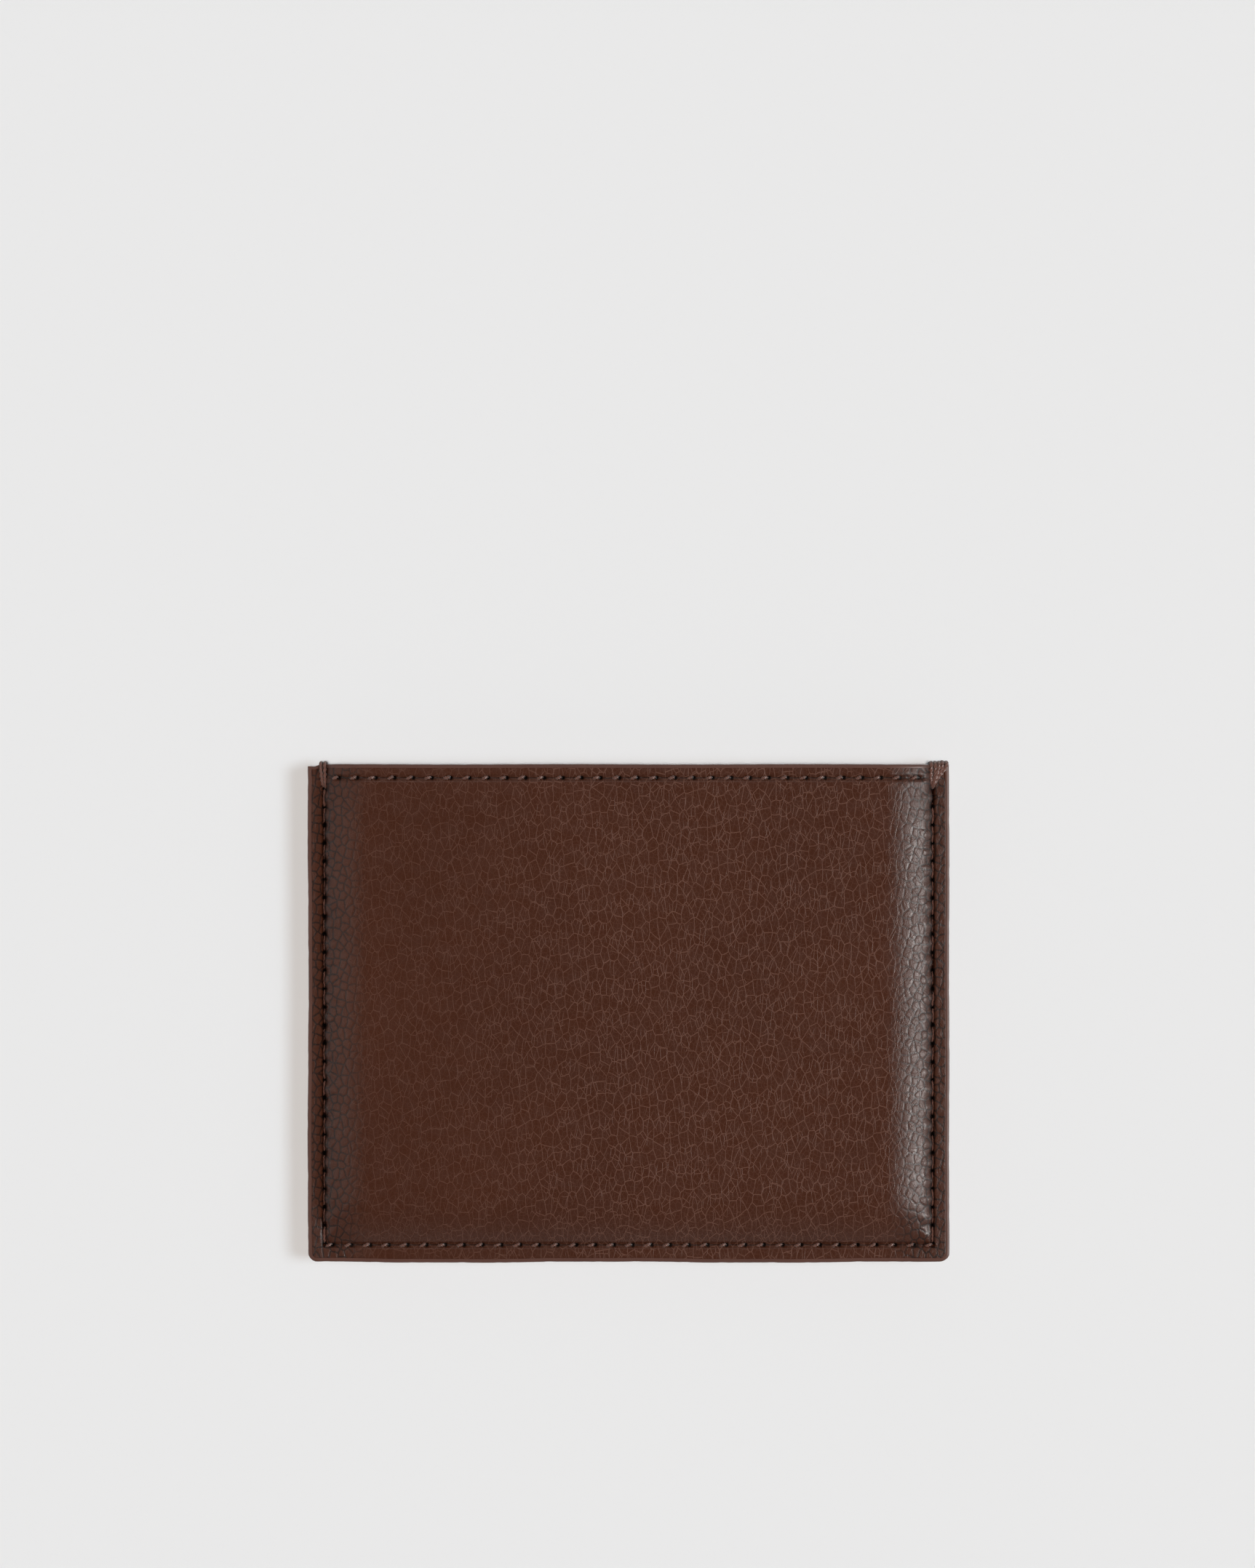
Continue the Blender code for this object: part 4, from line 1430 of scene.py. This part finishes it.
# %% Lights
def lamp(name, azimuth, elevation, strength, spread, colour):
    """A soft distant lamp. Azimuth 0 stands on the +X side and turns towards +Y."""
    light = bpy.data.lights.new(name, "SUN")
    light.energy = strength
    light.angle = math.radians(spread)
    light.color = colour
    obj = bpy.data.objects.new(name, light)
    a, e = math.radians(azimuth), math.radians(elevation)
    towards = Vector((math.cos(a) * math.cos(e), math.sin(a) * math.cos(e), math.sin(e)))
    obj.rotation_euler = towards.to_track_quat("Z", "Y").to_euler()
    obj.location = towards
    bpy.context.scene.collection.objects.link(obj)
    return obj


key = lamp("key_right", 2, 60, 0.98, 20, (0.80, 0.93, 1.0))
overhead = lamp("overhead", 0, 89, 2.07, 6, (1.0, 0.94, 0.865))
for soft in (key, overhead):
    soft.visible_glossy = False
window = lamp("window_right", -6, 31, 3.6, 16, (1.0, 0.96, 0.94))
wall = lamp("wall_left", 178, 38, 0.48, 44, (1.0, 0.97, 0.95))
far = lamp("wall_far", 92, 42, 0.24, 44, (1.0, 0.97, 0.95))
for shine in (window, wall, far):
    shine.visible_diffuse = False

# %% The room
ROOM_TONE = (1.0, 0.96, 0.91, 1.0)
world = bpy.data.worlds.new("room")
bpy.context.scene.world = world
world.use_nodes = True
sky = world.node_tree
towards = node(sky, "ShaderNodeTexCoord").outputs["Generated"]
upward = node(sky, "ShaderNodeSeparateXYZ", {0: towards}).outputs[2]
dim = remap(sky, upward, 0.45, 0.92, 0.13, 0.01)
sky.nodes["Background"].inputs["Color"].default_value = ROOM_TONE
sky.links.new(dim, sky.nodes["Background"].inputs["Strength"])
bpy.context.scene.view_settings.view_transform = "Standard"
print("room:", world.name)

# %% [markdown]
# ## Camera
# The camera looks straight down from 0.8 m above the seam. The lens is worked out from the height of table
# that the frame takes in at that distance. The wallet lies below the middle of the frame.

# %% Camera
FRAME_HEIGHT = 249.0 * MM
DISTANCE = 0.8
SENSOR = 36.0
VIEW_X, VIEW_Y = -0.15 * MM, 36.15 * MM
camera_data = bpy.data.cameras.new("camera")
camera_data.sensor_width = SENSOR
camera_data.lens = SENSOR * DISTANCE / FRAME_HEIGHT
camera = bpy.data.objects.new("camera", camera_data)
camera.location = (VIEW_X, VIEW_Y, SEAM_TOP + DISTANCE)
bpy.context.scene.collection.objects.link(camera)
bpy.context.scene.camera = camera
print("lens:", camera_data.lens)
